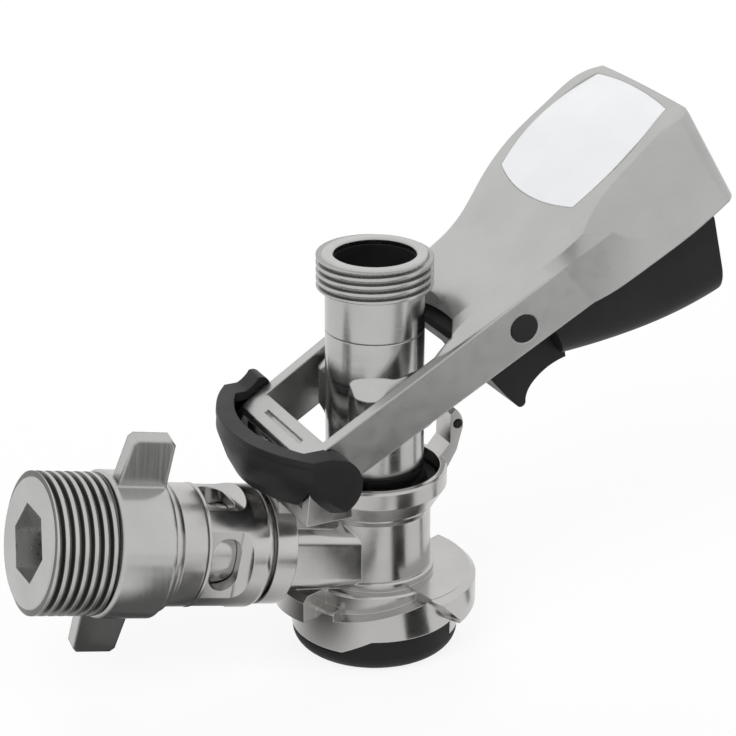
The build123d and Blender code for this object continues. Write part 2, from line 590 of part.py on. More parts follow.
# ------------------------------------------------------------------ gas arm
with BuildPart() as vent_cage:
    with BuildSketch(arm_side):
        with BuildLine():
            cage_low = Polyline((NECK_END - CAGE_SPIGOT, 0), (NECK_END - CAGE_SPIGOT, CAGE_SPIGOT_R),
                                (CAGE_START, CAGE_SPIGOT_R), (CAGE_START, CAGE_R - 1.6))
            cage_bead = ThreePointArc(cage_low @ 1, (CAGE_START + 0.8, CAGE_R - 0.5),
                                      (CAGE_START + 2.6, CAGE_R))
            Polyline(cage_bead @ 1, (CAGE_END - 0.4, CAGE_R), (CAGE_END, CAGE_R - 0.4), (CAGE_END, 0),
                     (NECK_END - CAGE_SPIGOT, 0))
        make_face()
    revolve(axis=ARM_AXIS)
    # four flats that run out in a curve at the bead, each with a long vent slot
    for turn in (0, 90, 180, 270):
        with BuildSketch(arm_side_turned(turn)):
            with BuildLine():
                flat_line = Polyline((BEAD_END + 2.4, CAGE_FLAT), (CAGE_END - 0.6, CAGE_FLAT),
                                     (CAGE_END - 0.6, CAGE_R + 2), (BEAD_END - 0.6, CAGE_R + 2),
                                     (BEAD_END - 0.6, CAGE_R))
                ThreePointArc(flat_line @ 1, (BEAD_END + 0.4, CAGE_FLAT + 0.8), flat_line @ 0)
            make_face()
        extrude(amount=CAGE_R, both=True, mode=Mode.SUBTRACT)
        with BuildSketch(arm_side_turned(turn, (BEAD_END + CAGE_END) / 2)):
            SlotOverall(SLOT_HEIGHT, SLOT_WIDTH, rotation=90)
        extrude(amount=CAGE_R, mode=Mode.SUBTRACT)
    with BuildSketch(arm_section(NECK_END - CAGE_SPIGOT - 1)):
        Circle(CAGE_BORE_R)
    extrude(amount=CAGE_END, mode=Mode.SUBTRACT)
save(vent_cage.part, "vent_cage")

with BuildPart() as gas_spigot:
    with BuildSketch(arm_side):
        with BuildLine():
            Polyline((NECK_END - CAGE_SPIGOT, SPIGOT_BORE_R), (NECK_END - CAGE_SPIGOT, SPIGOT_R),
                     (CAGE_END + SEAT_GAP / 2, SPIGOT_R), (CAGE_END + SEAT_GAP / 2, GAS_COLLAR_R - 0.5),
                     (CAGE_END + 0.6, GAS_COLLAR_R), (COLLAR_END - 0.5, GAS_COLLAR_R),
                     (COLLAR_END, GAS_COLLAR_R - 0.5), (COLLAR_END, SPIGOT_R),
                     (SPIGOT_END - SPIGOT_LIP, SPIGOT_R), (SPIGOT_END - SPIGOT_LIP, SPIGOT_LIP_R),
                     (SPIGOT_END, SPIGOT_LIP_R), (SPIGOT_END, SPIGOT_BORE_R), close=True)
        make_face()
    revolve(axis=ARM_AXIS)
save(gas_spigot.part, "gas_spigot")

with BuildPart() as wing_nut:
    with BuildSketch(arm_side):
        with BuildLine():
            Polyline((WING_START, 0), (WING_START, STEP_R - 0.6), (WING_START + 0.5, STEP_R),
                     (WING_STEP, STEP_R),
                     (WING_STEP, WING_R - 0.5), (WING_STEP + 0.5, WING_R), (WING_END - 0.6, WING_R),
                     (WING_END, WING_R - 0.6), (WING_END, 0), close=True)
        make_face()
    revolve(axis=ARM_AXIS)
    for turn in (-WING_TURN, 180 - WING_TURN):
        with BuildSketch(arm_side_turned(turn)):
            with BuildLine():
                Polyline((WING_STEP + 0.6, STUB_NECK_R + 1), (WING_STEP + 1.4, WING_TIP_R - 1.0),
                         (WING_STEP + 2.4, WING_TIP_R), (WING_END - 2.4, WING_TIP_R),
                         (WING_END - 1.4, WING_TIP_R - 1.0), (WING_END - 0.6, STUB_NECK_R + 1), close=True)
            make_face()
        extrude(amount=WING_THICK / 2, both=True)
    with BuildSketch(arm_side):
        with BuildLine():
            Polyline((WING_START - 1, 0), (WING_START - 1, SPIGOT_R + RUN_FIT),
                     (SPIGOT_END - SPIGOT_LIP - 0.4, SPIGOT_R + RUN_FIT),
                     (SPIGOT_END - SPIGOT_LIP - 0.4, SPIGOT_LIP_R + 0.7), (SPIGOT_END + 1.2,
                                                                           SPIGOT_LIP_R + 0.7),
                     (SPIGOT_END + 1.2, STUB_NECK_R + SEAT_GAP), (WING_END + 1, STUB_NECK_R + SEAT_GAP),
                     (WING_END + 1, 0), close=True)
        make_face()
    revolve(axis=ARM_AXIS, mode=Mode.SUBTRACT)
save(wing_nut.part, "wing_nut")

with BuildPart() as inlet_stub:
    with BuildSketch(arm_side):
        with BuildLine():
            Polyline((SPIGOT_END + 1.3, GAS_BORE_R + 0.5), (SPIGOT_END + 1.3, STUB_NECK_R),
                     (WING_END + SEAT_GAP / 2, STUB_NECK_R), (WING_END + SEAT_GAP / 2, STUB_R),
                     (STUB_END - 0.9, STUB_R), (STUB_END, STUB_R - 0.9), (STUB_END,
                                                                          GAS_BORE_R + 0.5), close=True)
        make_face()
    revolve(axis=ARM_AXIS)
    with BuildSketch(arm_section(STUB_END)):
        RegularPolygon(radius=HEX_FLATS / 2, side_count=6, major_radius=False)
    extrude(amount=-HEX_DEPTH, mode=Mode.SUBTRACT)
save(inlet_stub.part, "inlet_stub")

with BuildPart() as inlet_washer:
    with BuildSketch(arm_section(SPIGOT_END + 0.35)):
        Circle(SPIGOT_LIP_R)
        Circle(SPIGOT_BORE_R, mode=Mode.SUBTRACT)
    extrude(amount=0.95)
save(inlet_washer.part, "inlet_washer")

# ------------------------------------------------------------------ probe
NIPPLE_FOOT = PROBE_TOP - NIPPLE_LENGTH
with BuildPart() as outlet_nipple:
    with BuildSketch(Plane.XZ):
        with BuildLine():
            Polyline((LINER_R + SEAT_GAP, NIPPLE_FOOT), (PROBE_R - 0.3, NIPPLE_FOOT),
                     (PROBE_R, NIPPLE_FOOT + 0.3),
                     (PROBE_R, PROBE_TOP - COLLAR_LENGTH), (COLLAR_R - 0.5, PROBE_TOP - COLLAR_LENGTH),
                     (COLLAR_R, PROBE_TOP - COLLAR_LENGTH + 0.5), (COLLAR_R, PROBE_TOP - 0.7),
                     (COLLAR_R - 0.7, PROBE_TOP), (OUTLET_BORE_R + 0.3, PROBE_TOP), (OUTLET_BORE_R,
                                                                                     PROBE_TOP - 0.3),
                     (OUTLET_BORE_R, PROBE_TOP - 1.4), (LINER_R + SEAT_GAP, PROBE_TOP - 1.4), close=True)
        make_face()
    revolve(axis=Axis.Z)
save(outlet_nipple.part, "outlet_nipple")

with BuildPart() as probe_body:
    with BuildSketch(Plane.XY.offset(PROBE_FOOT)):
        Circle(PROBE_R)
    extrude(amount=NIPPLE_FOOT - PROBE_FOOT)
    with BuildSketch(Plane.XY.offset(SADDLE_FOOT)):
        RectangleRounded(SADDLE_DEPTH, 2 * SADDLE_HALF, 5)
    extrude(amount=SADDLE_TOP - SADDLE_FOOT)
    with BuildSketch(Plane.XY.offset(SADDLE_TOP)):
        RectangleRounded(SADDLE_DEPTH, 2 * SADDLE_HALF, 5)
    with BuildSketch(Plane.XY.offset(SADDLE_TOP + 6)):
        RectangleRounded(SADDLE_DEPTH - 1, 1.7 * PROBE_R, 8.9)
    loft()
    with BuildSketch(Plane.XY.offset(SADDLE_FOOT)):
        RectangleRounded(SADDLE_DEPTH, 2 * SADDLE_HALF, 5)
    with BuildSketch(Plane.XY.offset(SADDLE_FOOT - 4.5)):
        RectangleRounded(SADDLE_DEPTH - 1, 1.7 * PROBE_R, 8.9)
    loft()
    with BuildSketch(Plane.XY.offset(PROBE_FOOT)):
        Circle(LINER_R + SEAT_GAP)
    extrude(amount=PROBE_TOP, mode=Mode.SUBTRACT)
    # groove for the O-ring
    with BuildSketch(Plane.XZ):
        with Locations((PROBE_R, PROBE_FOOT + 2.2)):
            Rectangle(1.2, 1.8)
    revolve(axis=Axis.Z, mode=Mode.SUBTRACT)
    with BuildSketch(Plane.XZ):
        with Locations((0, PIN_Z)):
            Circle(DRIVE_PIN_R + 0.02)
    extrude(amount=2 * SADDLE_HALF, both=True, mode=Mode.SUBTRACT)
save(probe_body.part, "probe_body")

with BuildPart() as drive_pins:
    for side in (-1, 1):
        pin_face = Plane(origin=(0, side * (LINER_R + 1.2), PIN_Z), x_dir=(1, 0, 0), z_dir=(0, side, 0))
        with BuildSketch(pin_face):
            Circle(DRIVE_PIN_R)
        extrude(amount=DRIVE_PIN_END - LINER_R - 1.2)
save(drive_pins.part, "drive_pins")

with BuildPart() as probe_ring:
    with BuildSketch(Plane.XZ):
        with Locations((BORE_R - RUN_FIT - 0.4, PROBE_FOOT + 2.2)):
            RectangleRounded(0.8, 1.7, 0.35)
    revolve(axis=Axis.Z)
save(probe_ring.part, "probe_ring")

with BuildPart() as outlet_liner:
    with BuildSketch(Plane.XY.offset(LINER_FOOT)):
        Circle(LINER_R)
        Circle(OUTLET_BORE_R, mode=Mode.SUBTRACT)
    extrude(amount=PROBE_TOP - 1.5 - LINER_FOOT)
save(outlet_liner.part, "outlet_liner")

# The ring with a bar across that keeps the check ball down
with BuildPart() as ball_retainer:
    with BuildSketch(Plane.XY.offset(LINER_FOOT - SEAT_GAP)):
        Circle(LINER_R)
        Circle(LINER_R - 2.2, mode=Mode.SUBTRACT)
        Rectangle(2.4, 2 * LINER_R - 1)
        Rectangle(2 * LINER_R - 1, 2.4)
    extrude(amount=-RETAINER_THICK)
save(ball_retainer.part, "ball_retainer")

with BuildPart() as probe_stem:
    with BuildSketch(Plane.XZ):
        with BuildLine():
            Polyline((STEM_BORE_R, STEM_FOOT + 4.4), (STEM_R - 1.2, STEM_FOOT + 4.4),
                     (STEM_R - 1.2, STEM_FOOT + 5.4),
                     (STEM_R, STEM_FOOT + 5.4), (STEM_R, PROBE_FOOT - 1.2), (LINER_R, PROBE_FOOT),
                     (LINER_R, BALL_SEAT_Z), (STEM_BORE_R + 1.4, BALL_SEAT_Z), (STEM_BORE_R, BALL_SEAT_Z - 0.6),
                     close=True)
        make_face()
    revolve(axis=Axis.Z)
save(probe_stem.part, "probe_stem")

# Rubber tip that opens the keg valve
with BuildPart() as probe_tip:
    with BuildSketch(Plane.XZ):
        with BuildLine():
            tip_line = Polyline((STEM_BORE_R, STEM_FOOT + 4.4 - SEAT_GAP), (STEM_BORE_R, STEM_FOOT + 0.4),
                                (STEM_BORE_R + 0.4, STEM_FOOT), (STEM_R - 0.8, STEM_FOOT))
            tip_arc = ThreePointArc(tip_line @ 1, (STEM_R + 0.4, STEM_FOOT + 0.5),
                                    (STEM_R + 0.7, STEM_FOOT + 1.6))
            Polyline(tip_arc @ 1, (STEM_R, STEM_FOOT + 4.4 - SEAT_GAP), tip_line @ 0)
        make_face()
    revolve(axis=Axis.Z)
save(probe_tip.part, "probe_tip")

with BuildPart() as check_ball:
    with Locations((0, 0, BALL_Z)):
        Sphere(BALL_R)
save(check_ball.part, "check_ball")

# ------------------------------------------------------------------ lever
def grip_hollow(wall, start):
    """Room inside the grip's shell, from a distance start on, with a wall round it."""
    end = GRIP_END - wall
    with BuildPart() as hollow:
        add(grip_solid(wall, wall, GRIP_END, 2))
        with BuildSketch(lever_plan(-GRIP_END / 2)):
            with BuildLine():
                inner_arc = ThreePointArc((end - END_BULGE, 2 * RAIL_HALF), (end, 0),
                                          (end - END_BULGE, -2 * RAIL_HALF))
                Polyline(inner_arc @ 1, (start, -2 * RAIL_HALF), (start, 2 * RAIL_HALF), inner_arc @ 0)
            make_face()
        extrude(amount=GRIP_END, mode=Mode.INTERSECT)
    return hollow.part


with BuildPart() as grip_outer:
    add(grip_solid())
    with BuildSketch(lever_plan(-GRIP_END / 2)):
        with BuildLine():
            end_arc = ThreePointArc((GRIP_END - END_BULGE, -RAIL_HALF - 2.5), (GRIP_END, 0),
                                    (GRIP_END - END_BULGE, RAIL_HALF + 2.5))
            Polyline(end_arc @ 1, (BAR_END, RAIL_HALF + 8), (BAR_END, -RAIL_HALF - 8), end_arc @ 0)
        make_face()
        fillet(vertices().group_by(Axis((0, 0, 0), tuple(LEVER_U)))[-1], radius=5.5)
    extrude(amount=GRIP_END, mode=Mode.INTERSECT)
    # the end bows out in side view too
    with BuildSketch(lever_side):
        with BuildLine():
            heel_up = ThreePointArc((GRIP_END - 1.0, -3 * RAIL_TOP), (GRIP_END + 0.2, 0.5),
                                    (GRIP_END - 3.6, 4 * RAIL_TOP))
            Polyline(heel_up @ 1, (BAR_END, 4 * RAIL_TOP), (BAR_END, -3 * RAIL_TOP), heel_up @ 0)
        make_face()
    extrude(amount=2 * RAIL_HALF, both=True, mode=Mode.INTERSECT)
    add(grip_hollow(GRIP_WALL, WINDOW_END + GRIP_WALL + 0.6), mode=Mode.SUBTRACT)


def label_block(shrink, depth):
    """The label's outline, cut away below a depth under the grip's roof."""
    with BuildPart() as block:
        with BuildSketch(lever_plan(0)):
            with BuildLine():
                side_a = Spline([(LABEL_START + share * LABEL_LENGTH, w - shrink) for share,
                                 w in LABEL_SECTIONS])
                side_b = Spline([(LABEL_START + share * LABEL_LENGTH, -w + shrink) for share,
                                 w in LABEL_SECTIONS])
                ThreePointArc(side_a @ 0, (LABEL_START + shrink, 0), side_b @ 0)
                ThreePointArc(side_a @ 1, (LABEL_END - shrink, 0), side_b @ 1)
            make_face()
        extrude(amount=2 * RAIL_HALF)
        add(grip_solid(roof=depth, first=4), mode=Mode.SUBTRACT)
    return block.part


with BuildPart() as lever_handle:
    # the two rails, tapered in plan
    with BuildSketch(lever_side):
        with BuildLine():
            rail_top = Polyline((RAIL_LENGTH, RAIL_TOP), (0, RAIL_TOP))
            rail_nose = ThreePointArc(rail_top @ 1, (-RAIL_TOP, 0), (0, -RAIL_TOP))
            Polyline(rail_nose @ 1, (RAIL_LENGTH, -RAIL_TOP - RAIL_END_DROP), rail_top @ 0)
        make_face()
    extrude(amount=2 * RAIL_HALF, both=True)
    with BuildSketch(lever_plan(-GRIP_END / 2)):
        for side in (-1, 1):
            with BuildLine():
                Polyline((-2 * RAIL_TOP, side * rail_half(-2 * RAIL_TOP)),
                         (RAIL_LENGTH, side * rail_half(RAIL_LENGTH)),
                         (RAIL_LENGTH, side * (rail_half(RAIL_LENGTH) - RAIL_WALL)),
                         (-2 * RAIL_TOP, side * (rail_half(-2 * RAIL_TOP) - RAIL_WALL)), close=True)
            make_face()
    extrude(amount=GRIP_END, mode=Mode.INTERSECT)
    add(grip_outer.part)
    # window that the probe stands in
    with BuildSketch(lever_plan(-GRIP_END / 2)):
        with BuildLine():
            window_far = ThreePointArc((WINDOW_END - 2.2, -WINDOW_HALF), (WINDOW_END, 0),
                                       (WINDOW_END - 2.2, WINDOW_HALF))
            Polyline(window_far @ 1, (WINDOW_END - 5, rail_half(WINDOW_END - 5) - RAIL_WALL),
                     (-10, rail_half(-10) - RAIL_WALL), (-10, -rail_half(-10) + RAIL_WALL),
                     (WINDOW_END - 5, -rail_half(WINDOW_END - 5) + RAIL_WALL), window_far @ 0)
        make_face()
    extrude(amount=GRIP_END, mode=Mode.SUBTRACT)
    # cross bar at the hinge end, with a slot along it
    with BuildSketch(lever_side):
        with BuildLine():
            Polyline((-2.2, RAIL_TOP - BAR_THICK), (-2.2, RAIL_TOP - 0.6), (-1.2, RAIL_TOP),
                     (BAR_END, RAIL_TOP),
                     (BAR_END, RAIL_TOP - BAR_THICK), close=True)
        make_face()
    extrude(amount=RAIL_HALF - 1, both=True)
    with BuildSketch(lever_plan(RAIL_TOP + 1)):
        with Locations((1.7, 0)):
            Rectangle(1.0, 19)
    extrude(amount=-2.2, mode=Mode.SUBTRACT)
    # blind slots for the drive pins
    with BuildSketch(lever_side):
        SlotCenterPoint((pin_high + pin_low) / 2, pin_low, 2 * (DRIVE_PIN_R + SLOT_GAP))
    extrude(amount=DRIVE_PIN_END + MOVE_GAP, both=True, mode=Mode.SUBTRACT)
    # holes for the hinge bushes, the trigger pin and its caps
    with BuildSketch(lever_side):
        Circle(BUSH_R + 0.02)
        with Locations((TRIGGER_PIN_U, TRIGGER_PIN_V)):
            Circle(TRIGGER_PIN_R + 0.02)
    extrude(amount=2 * RAIL_HALF, both=True, mode=Mode.SUBTRACT)
    for side in (-1, 1):
        cap_face = Plane(origin=PIVOT + LEVER_U * TRIGGER_PIN_U + LEVER_V * TRIGGER_PIN_V
                         + Vector(0, side * CAP_SEAT, 0), x_dir=LEVER_U, z_dir=(0, side, 0))
        with BuildSketch(cap_face):
            Circle(TRIGGER_CAP_R + SEAT_GAP / 2)
        extrude(amount=10, mode=Mode.SUBTRACT)
    add(label_block(0, LABEL_DEPTH), mode=Mode.SUBTRACT)
save(lever_handle.part, "lever_handle")

with BuildPart() as label_plate:
    add(label_block(SEAT_GAP, LABEL_DEPTH - SEAT_GAP / 2))
    add(grip_solid(roof=-0.03, first=4), mode=Mode.INTERSECT)
save(label_plate.part, "label_plate")

with BuildPart() as hinge_bushes:
    for side in (-1, 1):
        with BuildSketch(Plane(origin=PIVOT + Vector(0, side * (RAIL_HALF - SEAT_GAP), 0), x_dir=(1, 0, 0),
                               z_dir=(0, -side, 0))):
            Circle(BUSH_R)
            Circle(HINGE_PIN_R + RUN_FIT, mode=Mode.SUBTRACT)
        extrude(amount=RAIL_WALL - 2 * SEAT_GAP)
save(hinge_bushes.part, "hinge_bushes")

trigger_axis_at = PIVOT + LEVER_U * TRIGGER_PIN_U + LEVER_V * TRIGGER_PIN_V
trigger_face = Plane(origin=trigger_axis_at, x_dir=LEVER_U, z_dir=(0, -1, 0))
with BuildPart() as trigger_pin:
    with BuildSketch(trigger_face):
        Circle(TRIGGER_PIN_R)
    extrude(amount=CAP_SEAT - SEAT_GAP / 2, both=True)
save(trigger_pin.part, "trigger_pin")

with BuildPart() as trigger_pin_caps:
    for side in (-1, 1):
        with BuildSketch(Plane(origin=trigger_axis_at + Vector(0, side * CAP_SEAT, 0), x_dir=LEVER_U,
                               z_dir=(0, side, 0))):
            Circle(TRIGGER_CAP_R)
        extrude(amount=rail_half(TRIGGER_PIN_U) + 0.25 - CAP_SEAT)
    chamfer(trigger_pin_caps.faces().filter_by(Axis.Y).group_by(Axis.Y)[0].edges()
            + trigger_pin_caps.faces().filter_by(Axis.Y).group_by(Axis.Y)[-1].edges(), length=0.2)
save(trigger_pin_caps.part, "trigger_pin_caps")

with BuildPart() as trigger:
    with BuildSketch(trigger_face):
        with BuildLine():
            nose = Polyline((4.5, 2.4), (-4.0, 2.4), (-11.4, 1.6), (-12.6, 0.4), (-12.6, -3.4), (-11.1, -5.4),
                            (-10.6, -11.0), (-9.4, -18.0), (-8.3, -22.4))
            tip = ThreePointArc(nose @ 1, (-7.1, -23.1), (-6.0, -22.2))
            hook = Spline([tip @ 1, (-4.2, -20.4), (-1.0, -19.2), (3.5, -18.9), (7.4, -19.7)])
            Polyline(hook @ 1, (8.6, -16.5), (7.4, -5.0), nose @ 0)
        make_face()
    extrude(amount=TRIGGER_HALF, both=True)
    with BuildSketch(trigger_face):
        Circle(TRIGGER_PIN_R + 1.6)
    extrude(amount=rail_half(TRIGGER_PIN_U) - RAIL_WALL - MOVE_GAP, both=True)
    with BuildSketch(trigger_face):
        Circle(TRIGGER_PIN_R + RUN_FIT)
    extrude(amount=2 * RAIL_HALF, both=True, mode=Mode.SUBTRACT)
save(trigger.part, "trigger")

# The moulding fills the grip's shell up to its roof
with BuildPart() as grip_core:
    add(grip_hollow(GRIP_WALL + 2 * SEAT_GAP, RAIL_LENGTH + 0.6))
    with BuildSketch(lever_plan(0)):
        Rectangle(4 * GRIP_END, 4 * RAIL_HALF)
    extrude(amount=GRIP_END, mode=Mode.INTERSECT)

with BuildPart() as under_grip:
    for share, foot in UNDER_SECTIONS:
        with BuildSketch(lever_section(along_grip(share))):
            with BuildLine():
                low = Polyline((UNDER_GRIP_HALF, foot + UNDER_GRIP_FILLET), (UNDER_GRIP_HALF, 1.0),
                               (-UNDER_GRIP_HALF, 1.0), (-UNDER_GRIP_HALF, foot + UNDER_GRIP_FILLET))
                corner_a = CenterArc((-UNDER_GRIP_HALF + UNDER_GRIP_FILLET, foot + UNDER_GRIP_FILLET),
                                     UNDER_GRIP_FILLET, 180, 90)
                corner_b = CenterArc((UNDER_GRIP_HALF - UNDER_GRIP_FILLET, foot + UNDER_GRIP_FILLET),
                                     UNDER_GRIP_FILLET, 270, 90)
                Line(corner_a @ 1, corner_b @ 0)
            make_face()
    loft()
    with BuildSketch(lever_side):
        heel_u = GRIP_END - HEEL_GAP
        throat_u = TRIGGER_PIN_U + 6.5
        with BuildLine():
            heel = Polyline((heel_u, 1.0), (heel_u, -12.0), (heel_u - 5.4, -28.6))
            heel_arc = ThreePointArc(heel @ 1, (heel_u - 6.6, -31.0), (heel_u - 9.2, -32.3))
            Polyline(heel_arc @ 1, (heel_u - 9.2, -40), (throat_u, -40), (throat_u, -7.4),
                     (RAIL_LENGTH + 0.6, -7.8), (RAIL_LENGTH + 0.6, 1.0), heel @ 0)
        make_face()
    extrude(amount=2 * UNDER_GRIP_HALF, both=True, mode=Mode.INTERSECT)
    add(grip_core.part)
    # pocket that the back of the trigger swings into
    with BuildSketch(lever_side):
        with Locations((TRIGGER_PIN_U + 4, TRIGGER_PIN_V - 19)):
            Rectangle(19, 50)
    extrude(amount=TRIGGER_HALF + 0.8, both=True, mode=Mode.SUBTRACT)
save(under_grip.part, "under_grip")
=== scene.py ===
"""Looks of a keg coupler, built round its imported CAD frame.

Every CAD node gets a procedural finish. The threaded pieces are modelled anew
with their real threads, and the hinge guard's front wall gets a flatter bow.
All sizes are in metres, in the frame of the CAD part.
"""

import logging
import math
from dataclasses import dataclass, field
from enum import Enum
from typing import Any, Dict, Sequence, Tuple

import bmesh
import bpy
from mathutils import Matrix, Vector


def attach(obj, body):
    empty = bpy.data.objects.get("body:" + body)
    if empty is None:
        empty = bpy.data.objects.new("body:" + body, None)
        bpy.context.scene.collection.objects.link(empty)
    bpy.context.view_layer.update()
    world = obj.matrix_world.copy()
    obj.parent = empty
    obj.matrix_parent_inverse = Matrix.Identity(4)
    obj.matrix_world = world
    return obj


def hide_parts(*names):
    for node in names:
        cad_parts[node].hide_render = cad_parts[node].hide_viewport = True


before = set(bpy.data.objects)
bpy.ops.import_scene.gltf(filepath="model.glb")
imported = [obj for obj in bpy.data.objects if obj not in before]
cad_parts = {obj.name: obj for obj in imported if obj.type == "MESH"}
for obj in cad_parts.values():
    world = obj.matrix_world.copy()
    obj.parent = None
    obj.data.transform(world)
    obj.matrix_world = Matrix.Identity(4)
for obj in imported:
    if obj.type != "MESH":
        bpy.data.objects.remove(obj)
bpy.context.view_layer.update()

LOG = logging.getLogger("keg_coupler")
MM = 0.001
GROOVE_SHADE = 1      # number of the finish with painted shade in a thread's grooves and on its flanks
SOCKET_LIGHT = 2      # number of the finish with painted light on the walls and floor of a key socket
MERGE = 1e-7    # corners closer than this are one
NEAR = 1e-6     # play when a corner's place is compared
CREST_PLAY = 1e-5       # the same for corners that the spin has carried round
PATTERN_LOW = 0.3       # a noise pattern's values lie mostly between these two
PATTERN_HIGH = 0.7
ARM_TILT = 12.6         # rise of the gas arm, in degrees
LONG_MARKS = 0.06       # scale of a turned surface's grain along its marks
FINE_MARKS = 3          # the same across them
RIDGE_FOOT = 0.45       # half a ridge's width at its foot, as a share of the pitch
RIDGE_TOP = 0.20        # the same at its crest
RIDGE_SINK = 0.15 * MM  # how far a ridge's foot stands in the root
TUBE_STEPS = 128
THREAD_STEPS = 96

Colour = Tuple[float, float, float]
Profile = Sequence[Tuple[float, float]]
Point = Tuple[float, float, float]


class Grain(Enum):
    """Which way the fine marks of a metal surface run."""

    CAST = "cast"
    TURNED_Z = "turned about the probe"
    TURNED_ARM = "turned about the arm"


class NodeSheet:
    """A small helper that adds and joins the nodes of one material."""

    def __init__(self, name: str) -> None:
        """Start an empty material.

        Args:
            name: Name of the material.
        """
        self.material = bpy.data.materials.new(name)
        self.material.use_nodes = True
        self.tree = self.material.node_tree
        self.tree.nodes.clear()
        self.output = self.add("ShaderNodeOutputMaterial")
        self.surface = self.add("ShaderNodeBsdfPrincipled")
        self.join(self.surface, "BSDF", self.output, "Surface")
        self.place = self.add("ShaderNodeTexCoord")

    def add(self, kind: str, **settings: Any) -> bpy.types.Node:
        """Add a node.

        Args:
            kind: Blender's name of the node type.
            **settings: Properties to set on the node.

        Returns:
            The new node.
        """
        node = self.tree.nodes.new(kind)
        for key, value in settings.items():
            setattr(node, key, value)
        return node

    def join(self, source: bpy.types.Node, out_name: str, target: bpy.types.Node, in_name: Any) -> None:
        """Join an output of one node to an input of another.

        Args:
            source: Node that gives the value.
            out_name: Name of its output.
            target: Node that takes the value.
            in_name: Name or number of its input.
        """
        self.tree.links.new(source.outputs[out_name], target.inputs[in_name])

    def noise(self, scale: float, detail: float = 4.0, stretch: Tuple[float, float, float] = (1, 1, 1),
              turn: Tuple[float, float, float] = (0, 0, 0), rough: float = 0.5) -> bpy.types.Node:
        """Add a noise pattern on the piece's own coordinates.

        Args:
            scale: Repeats per metre.
            detail: Octaves of the noise.
            stretch: Scale of the coordinates on each axis.
            turn: Rotation of the coordinates, in radians.
            rough: Weight of the finer octaves.

        Returns:
            The noise node.
        """
        mapping = self.add("ShaderNodeMapping")
        mapping.inputs["Scale"].default_value = stretch
        mapping.inputs["Rotation"].default_value = turn
        self.join(self.place, "Object", mapping, "Vector")
        noise = self.add("ShaderNodeTexNoise")
        noise.inputs["Scale"].default_value = scale
        noise.inputs["Detail"].default_value = detail
        noise.inputs["Roughness"].default_value = rough
        self.join(mapping, "Vector", noise, "Vector")
        return noise

    def spread(self, source: bpy.types.Node, out_name: str, low: float, high: float) -> bpy.types.Node:
        """Map a noise pattern to a range of values.

        Args:
            source: Node that gives the pattern.
            out_name: Name of its output.
            low: Value at the pattern's low end.
            high: Value at the pattern's high end.

        Returns:
            The map range node.
        """
        node = self.add("ShaderNodeMapRange")
        node.inputs["From Min"].default_value = PATTERN_LOW
        node.inputs["From Max"].default_value = PATTERN_HIGH
        node.inputs["To Min"].default_value = low
        node.inputs["To Max"].default_value = high
        self.join(source, out_name, node, "Value")
        return node

    def tint(self, source: bpy.types.Node, out_name: str, low: Colour, high: Colour) -> None:
        """Colour the surface between two colours by a pattern.

        Args:
            source: Node that gives the pattern.
            out_name: Name of its output.
            low: Colour at the pattern's low end.
            high: Colour at the pattern's high end.
        """
        ramp = self.add("ShaderNodeValToRGB")
        ramp.color_ramp.elements[0].position = PATTERN_LOW
        ramp.color_ramp.elements[0].color = (*low, 1)
        ramp.color_ramp.elements[1].position = PATTERN_HIGH
        ramp.color_ramp.elements[1].color = (*high, 1)
        self.join(source, out_name, ramp, "Fac")
        self.join(ramp, "Color", self.surface, "Base Color")

    def relief(self, source: bpy.types.Node, out_name: str, depth: float, edge: float) -> None:
        """Give the surface a fine relief over softly rounded edges.

        Args:
            source: Node that gives the height pattern.
            out_name: Name of its output.
            depth: Depth of the relief, in metres.
            edge: Radius of the rounded look of the edges, in metres.
        """
        soft = self.add("ShaderNodeBevel")
        soft.samples = 6
        soft.inputs["Radius"].default_value = edge
        bump = self.add("ShaderNodeBump")
        bump.inputs["Strength"].default_value = 1.0
        bump.inputs["Distance"].default_value = depth
        self.join(source, out_name, bump, "Height")
        self.join(soft, "Normal", bump, "Normal")
        self.join(bump, "Normal", self.surface, "Normal")


@dataclass(frozen=True)
class MetalFinish:
    """A plated or bare metal with a faint grain."""

    name: str
    light: Colour
    dark: Colour
    smooth: float
    rough: float
    grain: Grain = Grain.CAST
    relief: float = 0.00001
    edge: float = 0.0004
    grain_scale: float = 900.0
    octaves: float = 5.0
    cloud_scale: float = 60.0

    def material(self) -> bpy.types.Material:
        """Build the node material.

        Returns:
            The finished material.
        """
        sheet = NodeSheet(self.name)
        sheet.surface.inputs["Metallic"].default_value = 1.0
        cloud = sheet.noise(self.cloud_scale, detail=3.0)
        sheet.tint(cloud, "Fac", self.dark, self.light)
        stretch = {Grain.CAST: (1, 1, 1), Grain.TURNED_Z: (LONG_MARKS, LONG_MARKS, FINE_MARKS),
                   Grain.TURNED_ARM: (FINE_MARKS, LONG_MARKS, LONG_MARKS)}
        turn = (0, math.radians(ARM_TILT), 0) if self.grain is Grain.TURNED_ARM else (0, 0, 0)
        grain = sheet.noise(self.grain_scale, self.octaves, stretch[self.grain], turn)
        rough = sheet.spread(grain, "Fac", self.smooth, self.rough)
        sheet.join(rough, "Result", sheet.surface, "Roughness")
        sheet.relief(grain, "Fac", self.relief, self.edge)
        return sheet.material


